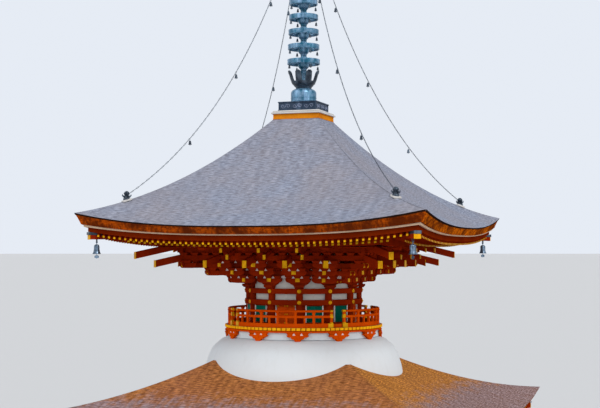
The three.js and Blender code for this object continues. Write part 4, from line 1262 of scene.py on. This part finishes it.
# "beams" are the ring beams: how far in and out each reaches, its bottom and its top
groundFloor = {"columns": (-2.9, -0.95, 0.95), "reach": 2.9,
               "shaft": [(0, 0.63), (0.14, 0.63), (0.14, 2.94), (0.1204, 3.06), (0, 3.06)],
               "base": [(0, 0.60), (0.23, 0.60), (0.22, 0.64), (0.17, 0.66), (0, 0.66)],
               "beams": ((2.87, 3.05, 2.60, 2.76), (2.87, 3.05, 2.94, 3.06), (2.87, 3.05, 0.60, 0.76)),
               "nose": ((3.0, -2.96, 2.955), (3.26, -2.86, 3.045)),
               "noseCap": ((3.255, -2.965, 2.95), (3.275, -2.855, 3.05)),
               "windowSill": ((1.09, -2.93, 1.44), (2.76, -2.85, 1.56)),
               "doorPost": ((0.70, -2.94, 0.76), (0.82, -2.74, 2.60)),
               "doorHead": ((-0.82, -2.935, 2.54), (0.82, -2.75, 2.61)),
               "disc": 0.062, "discOut": 3.05, "discLevels": (2.68, 0.68),
               "floor": {"half": 2.715, "first": -2.72, "wide": 0.17, "bottom": 0.605, "top": 0.66, "count": 32}}
lowerDoor = {"half": 0.70, "face": 2.83, "back": 2.76, "bottom": 0.76, "top": 2.56, "rail": 0.085,
             "middles": [1.30, 1.90], "middle": ((-0.03, -2.845, 0.76), (0.03, -2.80, 2.56))}
lowerWindow = {"x": 1.925, "half": 0.60, "bottom": 1.60, "top": 2.54, "face": 2.82, "bars": 15, "bar": 0.036,
               "frame": 0.06}
# the half of the strut's outer and inner outline, from its foot upwards
strut = {"outer": [(0.46, 0.0), (0.42, 0.07), (0.30, 0.13), (0.20, 0.22), (0.13, 0.30), (0.12, 0.33)],
         "inner": [(0.30, 0.0), (0.24, 0.06), (0.13, 0.11), (0.06, 0.19)], "crown": (0.0, 0.22), "thick": 0.07}
podium = {"half": 4.60, "cap": 4.66, "capWide": 0.42, "top": 0.60, "capThick": 0.12, "bays": 8, "capStones": 10,
          "slabs": 14, "bare": 2.6, "plinth": 0.112, "postHalf": 0.110, "panelSide": 0.115, "panelBack": 0.015,
          "joint": 0.002, "slabJoint": 0.003}
# the depth and the bottom of each step, and the outline of the stones beside them
steps = {"treads": ((0.78, 0.0), (0.52, 0.15), (0.26, 0.30)), "stones": (-0.90, -0.30, 0.30), "front": -4.66,
         "cheek": [(0, 0), (0.82, 0), (0.82, 0.17), (0.26, 0.60), (0, 0.60)]}


def makeLowerFrame():
    bm = bmesh.new()
    g = groundFloor

    def column(post):
        addTurned(post, g["shaft"], 28)
        addTurned(post, g["base"], 28, paint=2)
    post = asShape(column)
    for x in g["columns"]:
        stamp(bm, post, at(x, -g["reach"], 0))
    for inner, outer, low, high in g["beams"]:
        addBlock(bm, (-outer, -outer, low), (inner, -inner, high), ease=0.01)
    addPair(bm, *g["nose"], ease=0.01)
    addPair(bm, *g["noseCap"], paint=1)
    addPair(bm, *g["windowSill"])
    addPair(bm, *g["doorPost"])
    addBlock(bm, *g["doorHead"])
    for x in (*g["columns"], g["reach"]):
        for z in g["discLevels"]:
            addDisc(bm, g["disc"], 0.016, at(x, -g["discOut"], z) @ facing)
    fourTimes(bm)
    finishPiece("lower_timber_frame", bm, ["redPaint", "gilding", "greyStone"], ["lower_frame"],
                smoothAngle=30)


def lowerDoorPair(bm):
    addDoors(bm, lowerDoor)
    addBlock(bm, *lowerDoor["middle"])


def lowerWindowPair(bm):
    for side in (-1, 1):
        addBarredWindow(bm, lowerWindow, at(side * lowerWindow["x"], 0, 0))


# a strut between the beams, like a low arch on two spread legs
def addLegStrut(bm, move):
    inner = strut["inner"]
    points = mirrored(strut["outer"]) + [(-x, z) for x, z in inner] + [strut["crown"]] + inner[::-1]
    addOutline(bm, points, strut["thick"], move)


# the lower bracket sets: two rows of cross arms, each with where it is, its size and the blocks on it; the arms
# are given by start, end, bottom and width, and the corner's are stretched
lowerSets = {"foot": 3.06, "footReach": 2.93, "bigBlock": (0.36, 0.15), "smallBlock": (0.20, 0.08), "thick": 0.12,
             "rows": ({"reach": 2.965, "half": 0.46, "bottom": 3.19, "high": 0.13, "blocks": 0.36, "blockFoot": 3.32},
                      {"reach": 3.35, "half": 0.42, "bottom": 3.40, "high": 0.12, "blocks": 0.33, "blockFoot": 3.52}),
             "arm": (2.93, 3.455, 3.20, 0.13), "armBlock": 3.33, "cornerHalf": 0.40,
             "cornerArms": ((2.93, 3.455, 3.20, 0.15), (3.0, 3.62, 3.43, 0.14)),
             "struts": (0, -1.925, 1.925), "strutReach": 2.955, "strutBlock": 3.38,
             "beam": ((-3.03, -3.03, 3.40), (2.90, -2.90, 3.53)), "purlin": (3.275, 3.425, 3.60)}


# twelve sets: a block, a cross arm and a row of blocks, with an arm and a second cross arm in front
def makeLowerBrackets():
    bm = bmesh.new()
    s = lowerSets
    big, small = bearingBlock(*s["bigBlock"]), bearingBlock(*s["smallBlock"])

    def crossRow(x, r):
        addCrossArm(bm, r["half"], r["bottom"], r["high"], s["thick"], at(x, -r["reach"], 0))
        for shift in (-r["blocks"], 0, r["blocks"]):
            stamp(bm, small, at(x + shift, -r["reach"], r["blockFoot"]))
    near, far = s["rows"]
    for x in groundFloor["columns"]:
        stamp(bm, big, at(x, -s["footReach"], s["foot"]))
        crossRow(x, near)
        if abs(x) < 2:
            addArm(bm, *s["arm"], at(x, 0, 0) @ facing)
            stamp(bm, small, at(x, -far["reach"], s["armBlock"]))
            crossRow(x, far)
    corner, stretch = turned(-45), math.sqrt(2)
    for start, end, bottom, width in s["cornerArms"]:
        addArm(bm, start * stretch, end * stretch, bottom, width, corner)
    for z in (s["armBlock"], far["blockFoot"]):
        stamp(bm, small, corner @ at(far["reach"] * stretch, 0, z))
    for turn in (45, 135):
        addCrossArm(bm, s["cornerHalf"], far["bottom"], far["high"], s["thick"],
                    corner @ at(far["reach"] * stretch, 0, 0) @ turned(turn))
    for x in s["struts"]:
        addLegStrut(bm, at(x, -s["strutReach"], s["foot"]))
        stamp(bm, small, at(x, -s["strutReach"], s["strutBlock"]))
    addBlock(bm, *s["beam"], ease=0.01)
    fourTimes(bm)
    addSquareBeam(bm, lowerEaves, *s["purlin"], lambda h: baseUnder(lowerEaves, h) - 0.001)
    finishPiece("lower_bracket_sets", bm, ["redPaint", "gilding"], ["lower_brackets"])


def makeGroundFloor():
    bm = bmesh.new()
    f = groundFloor["floor"]
    for i in range(f["count"]):
        start = f["first"] + f["wide"] * i
        addBlock(bm, (-f["half"], start, f["bottom"]), (f["half"], start + f["wide"] - 0.003, f["top"]), ease=0.003)
    finishPiece("floor_planks", bm, ["bareBoards"], ["ground_floor"])


def makePodium():
    bm = bmesh.new()
    p = podium
    half, cap, wide, top, plinth, joint = [p[key] for key in ("half", "cap", "capWide", "top", "plinth", "joint")]
    low, side, gap = top - p["capThick"], p["panelSide"], p["slabJoint"]
    addBlock(bm, (-half - 0.03, -half - 0.03, 0), (4.30, -4.30, 0.11), ease=0.012)
    addBlock(bm, (-half + 0.035, -half + 0.035, 0.10), (4.32, -4.32, low), ease=0, paint=1)
    bay = 2 * half / p["bays"]
    for i in range(p["bays"]):
        post = -half + bay * i
        addBlock(bm, (post + side, -half + p["panelBack"], plinth), (post + bay - side, -4.4, low), ease=0.008)
        addBlock(bm, (post - p["postHalf"] if i else post, -half, plinth), (post + p["postHalf"], -4.36, low),
                 ease=0.010)
    stone = 2 * (cap - wide) / p["capStones"]
    for i in range(p["capStones"]):
        x = wide - cap + stone * i
        addBlock(bm, (x + joint, -cap, low + joint), (x + stone - joint, -cap + wide, top), ease=0.012)
    addBlock(bm, (-cap, -cap, low + joint), (wide - cap - joint, wide - cap - joint, top), ease=0.012)
    fourTimes(bm)
    inner = cap - wide - joint
    slab = 2 * inner / p["slabs"]
    for i in range(p["slabs"]):
        for k in range(p["slabs"]):
            x, y = -inner + slab * i, -inner + slab * k
            if max(abs(x + slab / 2), abs(y + slab / 2)) > p["bare"]:
                addBlock(bm, (x + gap, y + gap, low), (x + slab - gap, y + slab - gap, top - joint), ease=0.007)
    addSlab(bm, inner, 0.02, top - 0.012, None, 0, 1)
    finishPiece("podium_stones", bm, ["greyStone", "paleStone"], ["stone_podium"])


def makeSteps():
    bm = bmesh.new()
    front = steps["front"]
    for depth, low in steps["treads"]:
        for x in steps["stones"]:
            addBlock(bm, (x + 0.002, front - depth, low), (x + 0.598, front, low + 0.15), ease=0.012)
    for x in (-1.0, 1.0):
        addOutline(bm, steps["cheek"], 0.2, at(x, front, 0) @ facing, 0.014)
    finishPiece("front_step_stones", bm, ["greyStone"], ["front_steps"])


makeLowerFrame()
makeAround("lower_door_leaves_", sides, lowerDoorPair, doorLooks, "lower_doors_")
makeAround("lower_windows_", sides, lowerWindowPair, ["redPaint", "greenPaint", "redPaint"])
makeLowerBrackets()
makeGroundFloor()
makePodium()
makeSteps()
for side in sides:
    dressNode("lower_wall_" + side, "limePlaster")
dressNode("lower_wall_band", "limePlaster")
print("the ground storey is made")

# the finial, its chains and the bells

# each slab is given by half its width, its bottom and top, and how much its edges are eased
roofCap = {"half": 0.65, "bar": 0.05, "bars": ((11.787, 11.812), (11.905, 11.93)), "core": (0.642, 11.787, 11.93),
           "slabs": ((0.69, 11.93, 11.975, 0.008), (0.66, 11.972, 12.02, 0.02))}
basin = {"half": 0.53, "slabs": ((0.522, 12.02, 12.265, 0.004), (0.548, 12.02, 12.052, 0.008),
                                 (0.548, 12.238, 12.27, 0.008)), "posts": (-0.53, 0.508), "postWide": 0.022,
         "postLow": 12.05, "postHigh": 12.24}
finial = {"mast": 0.055, "mastFoot": 13.14, "mastTop": 17.16, "rings": 9, "firstRing": 13.39, "pitch": 0.406,
          "radius": 0.447, "taper": 0.016, "band": 0.062, "wall": 0.030, "hub": 0.13, "hook": 0.018, "petals": 8,
          "firstPetal": -48.3}
# the turn of the first of four spokes, half their width and height, and how much their edges are eased
spokes = ((45, 0.020, 0.022, 0.006), (0, 0.009, 0.016, 0.004))
scroll = {"reach": 0.33, "z": 12.145, "half": 0.145, "high": 0.058, "rod": 0.008, "points": 15, "turn": 34}
petal = {"half": 0.086, "taper": 0.12, "reach": 0.322, "spread": 0.105, "hollow": 0.035, "tip": 0.8, "tipRound": 0.215,
         "curl": 0.022, "bottom": 12.835, "high": 0.300, "thick": 0.014}
bowlShape = [(0, 12.27), (0.375, 12.27), (0.375, 12.30), (0.36, 12.312), (0.347, 12.32), (0.347, 12.39),
             (0.352, 12.395), (0.352, 12.41), (0.347, 12.415), (0.347, 12.53), (0.342, 12.562), (0.328, 12.590),
             (0.302, 12.616), (0.265, 12.638), (0.222, 12.656), (0.19, 12.67), (0, 12.67)]
lotusShape = [(0, 12.67), (0.205, 12.67), (0.218, 12.685), (0.222, 12.70), (0.235, 12.715), (0.262, 12.735),
              (0.268, 12.752), (0.285, 12.768), (0.310, 12.79), (0.316, 12.806), (0.328, 12.822), (0.334, 12.85),
              (0.318, 12.862), (0.27, 12.85), (0.12, 12.84), (0, 12.84)]
mastFootShape = [(0.0, 12.83), (0.105, 12.83), (0.085, 12.88), (0.078, 12.97), (0.088, 13.05), (0.11, 13.14),
                 (0.0, 13.14)]
# heights are from the middle of the ring
hubShape = [(0.05, -0.235), (0.082, -0.23), (0.092, -0.19), (0.128, -0.16), (0.150, -0.11), (0.158, -0.04),
            (0.152, 0.03), (0.128, 0.085), (0.092, 0.115), (0.085, 0.16), (0.05, 0.165)]
jewelShape = [(0, 17.16), (0.09, 17.16), (0.125, 17.19), (0.15, 17.22), (0.155, 17.235), (0.155, 17.285),
              (0.15, 17.30), (0.12, 17.325), (0.09, 17.35), (0.065, 17.40), (0.06, 17.45), (0.085, 17.475),
              (0.13, 17.52), (0.158, 17.565), (0.165, 17.61), (0.158, 17.66), (0.13, 17.71), (0.085, 17.755),
              (0.045, 17.785), (0.018, 17.805), (0, 17.82)]


def makeRoofCap():
    bm = bmesh.new()
    half, inner = roofCap["half"], roofCap["half"] - roofCap["bar"]
    for low, high in roofCap["bars"]:
        addBlock(bm, (-half, -half, low), (inner, -inner, high))
    fourTimes(bm)
    addSlab(bm, *roofCap["core"], ease=0)
    for half, low, high, ease in roofCap["slabs"]:
        addSlab(bm, half, low, high, None, ease, 1)
    finishPiece("roof_cap_frame", bm, ["orangePaint", "paleStone"], ["roof_cap"])


# a plain vine scroll in low relief: one rising and one falling curl
def addScroll(bm, x, y):
    s = scroll
    for side in (-1, 1):
        points = []
        for i in range(s["points"]):
            turn, size = math.radians(s["turn"] * i), 1 - i / 17
            points.append((x + side * s["half"] * (0.48 - math.cos(turn) * 0.46 * size), y,
                           s["z"] + side * math.sin(turn) * s["high"] * size))
        for a, b in zip(points, points[1:]):
            addRod(bm, s["rod"], a, b, 5, None, 1)


def basinPanel(bm):
    b = basin
    for place in (-1, 0, 1):
        addScroll(bm, scroll["reach"] * place, -b["half"] - 0.002)
    for x in b["posts"]:
        addBlock(bm, (x, -b["half"] - 0.004, b["postLow"]), (x + b["postWide"], -b["half"] + 0.02, b["postHigh"]),
                 ease=0.004)
    fourTimes(bm)


def makeBasin():
    bm = bmesh.new()
    for half, low, high, ease in basin["slabs"]:
        addSlab(bm, half, low, high, None, ease)
    stamp(bm, asShape(basinPanel), Matrix())
    finishPiece("finial_box", bm, ["copper", "paleCopper"], ["finial_basin"])


def makeBowl():
    bm = bmesh.new()
    addTurned(bm, bowlShape, 64)
    finishPiece("finial_dome", bm, ["patina"], ["finial_bowl"], smoothAngle=35)


# an upright petal with a curled tip
def addPetal(bm):
    p = petal
    made = bmesh.ops.create_grid(bm, x_segments=6, y_segments=8, size=1)["verts"]
    for v in made:
        across, up = v.co.x, (v.co.y + 1) / 2
        tip = max(0.0, up - p["tip"])
        wide = p["half"] * (1 - p["taper"] * up) * math.sqrt(max(0.0, 1 - (tip / p["tipRound"]) ** 2))
        curl = p["curl"] * tip / (1 - p["tip"]) - p["hollow"] * across ** 2
        reach = p["reach"] + p["spread"] * up ** 0.75 + curl
        v.co = Vector((reach, across * wide, p["bottom"] + p["high"] * up))
    bmesh.ops.remove_doubles(bm, verts=made, dist=1e-5)
    bmesh.ops.recalc_face_normals(bm, faces=bm.faces[:])
    bmesh.ops.solidify(bm, geom=bm.faces[:] + bm.edges[:] + bm.verts[:], thickness=p["thick"])
    bmesh.ops.recalc_face_normals(bm, faces=bm.faces[:])


def makeLotus():
    bm = bmesh.new()
    addTurned(bm, lotusShape, 48)
    addTurned(bm, mastFootShape, 32, paint=1)
    shape = asShape(addPetal)
    for i in range(finial["petals"]):
        stamp(bm, shape, turned(finial["firstPetal"] + 360 / finial["petals"] * i))
    finishPiece("finial_lotus_petals", bm, ["darkBronze", "patina"], ["finial_lotus"], smoothAngle=40)


# a small bell with its clapper, hung by an eye
def smallBell(radius, high, paint=0):
    def build(bm):
        profile = [(0, 0), (0.35, -0.02), (0.62, -0.14), (0.72, -0.55), (1, -1), (0.86, -1), (0.55, -0.5), (0, -0.2)]
        eye = [(0.12, 0), (0.28, 0), (0.28, 0.22), (0.12, 0.22)]
        addTurned(bm, [(radius * r, high * z) for r, z in profile], 12, paint=paint)
        addRod(bm, radius * 0.12, (0, 0, -high * 0.2), (0, 0, -high * 1.25), 6, paint=paint)
        addTurned(bm, [(radius * r, high * z) for r, z in eye], 8, at(0, 0, -0.01) @ turned(90, "X"), paint)
    return asShape(build)


def makeRings():
    bm = bmesh.new()
    f, mast, band, foot, top = finial, finial["mast"], finial["band"], finial["mastFoot"], finial["mastTop"]
    addTurned(bm, [(0, foot), (mast, foot), (mast, top), (0, top)], 24)
    bell = smallBell(0.036, 0.085, 1)
    for i in range(f["rings"]):
        z, outer = f["firstRing"] + f["pitch"] * i, f["radius"] - f["taper"] * i
        inner = outer - f["wall"]
        addTurned(bm, [(inner, z - band), (outer - 0.004, z - band - 0.003), (outer, z - band + 0.012),
                       (outer - 0.006, z), (outer, z + band - 0.012), (outer - 0.004, z + band + 0.003),
                       (inner, z + band)], 64)
        addTurned(bm, [(radius, z + rise) for radius, rise in hubShape], 32)
        for k in range(4):
            for turn, wide, high, ease in spokes:
                addBlock(bm, (f["hub"], -wide, z - high), (outer - 0.012, wide, z + high), turned(turn + 90 * k), ease)
            move, hook = turned(45 + 90 * k), outer - f["hook"]
            addRod(bm, 0.005, (hook, 0, z - band - 0.05), (hook, 0, z - band + 0.01), 6, move)
            stamp(bm, bell, move @ at(hook, 0, z - band - 0.045))
    finishPiece("finial_ring_stack", bm, ["patina", "darkBronze"], ["finial_rings"], smoothAngle=35)


def makeJewel():
    bm = bmesh.new()
    addTurned(bm, jewelShape, 48)
    for k in range(4):
        addBlock(bm, (0.135, -0.010, 17.245), (0.172, 0.010, 17.275), turned(45 + 90 * k), 0.004)
    finishPiece("finial_jewel_top", bm, ["patina"], ["finial_jewel"], smoothAngle=35)


# the chain hangs along a curve over the hip: its two ends and the point that draws it down
chain = {"from": (0.105, 17.26), "by": (1.34, 11.75), "anchor": 3.53, "link": 0.100, "wide": 0.032, "wire": 0.0052,
         "bells": (0.219, 0.450, 0.708), "slope": 18, "marks": 2000}
hipTop = slopeTop(upperRoof, chain["anchor"])
chain["to"] = (chain["anchor"] - 0.02, hipTop + 0.15)
anchorShape = [(0, -0.05), (0.090, -0.05), (0.090, 0.04), (0.078, 0.065), (0.055, 0.085), (0.052, 0.125),
               (0.074, 0.16), (0.078, 0.18), (0.055, 0.212), (0.03, 0.232), (0, 0.24)]
anchorLeaf = [(0.045, 0.065), (0.095, 0.075), (0.128, 0.12), (0.116, 0.16), (0.098, 0.13), (0.052, 0.118)]
anchorPad = ((-0.118, -0.095, -0.03), (0.118, 0.095, 0.026))


def chainPoint(t):
    half, z = [(1 - t) ** 2 * a + 2 * t * (1 - t) * b + t * t * c
               for a, b, c in zip(chain["from"], chain["by"], chain["to"])]
    return Vector((half, -half, z))


def addLink(bm):
    addTurned(bm, roundProfile(chain["wide"] / 2 - chain["wire"], 0, chain["wire"], 1.0, 6), 12)
    bmesh.ops.transform(bm, matrix=turned(90, "Y"), verts=bm.verts[:])
    for v in bm.verts:
        if abs(v.co.z) > 1e-4:
            v.co.z += math.copysign((chain["link"] - chain["wide"]) / 2, v.co.z)


# where along the curve each link goes, one even step after another
def evenSteps(step):
    marks, walked, last = [0.0], 0.0, chainPoint(0)
    for i in range(1, chain["marks"] + 1):
        point = chainPoint(i / chain["marks"])
        walked += (point - last).length
        last = point
        if walked >= step * len(marks):
            marks.append(i / chain["marks"])
    return marks


def makeChain(bm):
    link = asShape(addLink)
    for count, t in enumerate(evenSteps(chain["link"] - 2.6 * chain["wire"])):
        along = chainPoint(min(1, t + 0.004)) - chainPoint(max(0, t - 0.004))
        stamp(bm, link, Matrix.Translation(chainPoint(t)) @ uprightTo(along) @ turned(90 * (count % 2)))
    bell = smallBell(0.045, 0.105)
    for t in chain["bells"]:
        point = chainPoint(t)
        addRod(bm, 0.004, point, point - Vector((0, 0, 0.07)), 6)
        stamp(bm, bell, Matrix.Translation(point - Vector((0, 0, 0.062))))
    foot = at(chain["anchor"], -chain["anchor"], hipTop)
    slope = Matrix.Rotation(math.radians(chain["slope"]), 4, Vector((1, 1, 0)).normalized())
    addBlock(bm, *anchorPad, foot @ slope @ turned(-45), 0.012, 1)
    addTurned(bm, anchorShape, 24, foot)
    for k in range(4):
        addOutline(bm, anchorLeaf, 0.022, foot @ turned(45 + 90 * k), 0.004)


# heights are from the pin; the wind plate hangs from the clapper below the mouth
windBellShape = [(0, -0.050), (0.026, -0.052), (0.048, -0.060), (0.062, -0.078), (0.068, -0.11), (0.070, -0.17),
                 (0.076, -0.215), (0.088, -0.255), (0.106, -0.288), (0.104, -0.294), (0.092, -0.290), (0.074, -0.25),
                 (0.062, -0.20), (0.056, -0.10), (0.040, -0.074), (0, -0.070)]
windPlate = [(0, -0.318), (0.050, -0.335), (0.062, -0.372), (0.040, -0.404), (0.016, -0.392), (0, -0.418),
             (-0.016, -0.392), (-0.040, -0.404), (-0.062, -0.372), (-0.050, -0.335)]
bellEye = [(0.0092, -0.011), (0.024, -0.011), (0.024, 0.011), (0.0092, 0.011)]
# the radius and height of the two cords round the bell
bellCords = ((0.0705, -0.120), (0.0755, -0.205))


def makeWindBell(bm):
    half = bellPlace["half"]
    move = at(half, -half, bellPlace["pin"]) @ turned(-45)
    addTurned(bm, windBellShape, 40, move)
    addTurned(bm, bellEye, 24, move @ turned(90, "X"))
    addBlock(bm, (-0.008, -0.010, -0.056), (0.008, 0.010, -0.018), move, 0.002)
    for radius, z in bellCords:
        addTurned(bm, roundProfile(radius, z, 0.0035, 1.0, 6), 40, move)
    for k in range(4):
        addBlock(bm, (0.064, -0.003, -0.205), (0.0735, 0.003, -0.085), move @ turned(90 * k + 45), 0.001)
    addRod(bm, 0.006, (0, 0, -0.34), (0, 0, -0.066), 8, move)
    addOutline(bm, windPlate, 0.008, move)


makeRoofCap()
makeBasin()
makeBowl()
makeLotus()
makeRings()
makeJewel()
makeAround("finial_chain_", corners, makeChain, ["darkBronze", "paleStone"], "chain_", smoothAngle=50)
makeAround("wind_bell_cast_", corners, makeWindBell, ["bellBronze"], "wind_bell_", smoothAngle=40,
           bodies="bell_")
print("the finial, chains and bells are made")

# the plain floor
floorSet = {"radius": 2500, "color": (0.50, 0.50, 0.50, 1), "rough": 0.9}


def makeFloor():
    bm = bmesh.new()
    bmesh.ops.create_circle(bm, cap_ends=True, segments=96, radius=floorSet["radius"])
    floor = bpy.data.objects.new("floor", asMesh(bm))
    material, _, shader, _ = newMaterial("paleFloor")
    shader.inputs["Base Color"].default_value = floorSet["color"]
    shader.inputs["Roughness"].default_value = floorSet["rough"]
    floor.data.materials.append(material)
    scene.collection.objects.link(floor)


makeFloor()
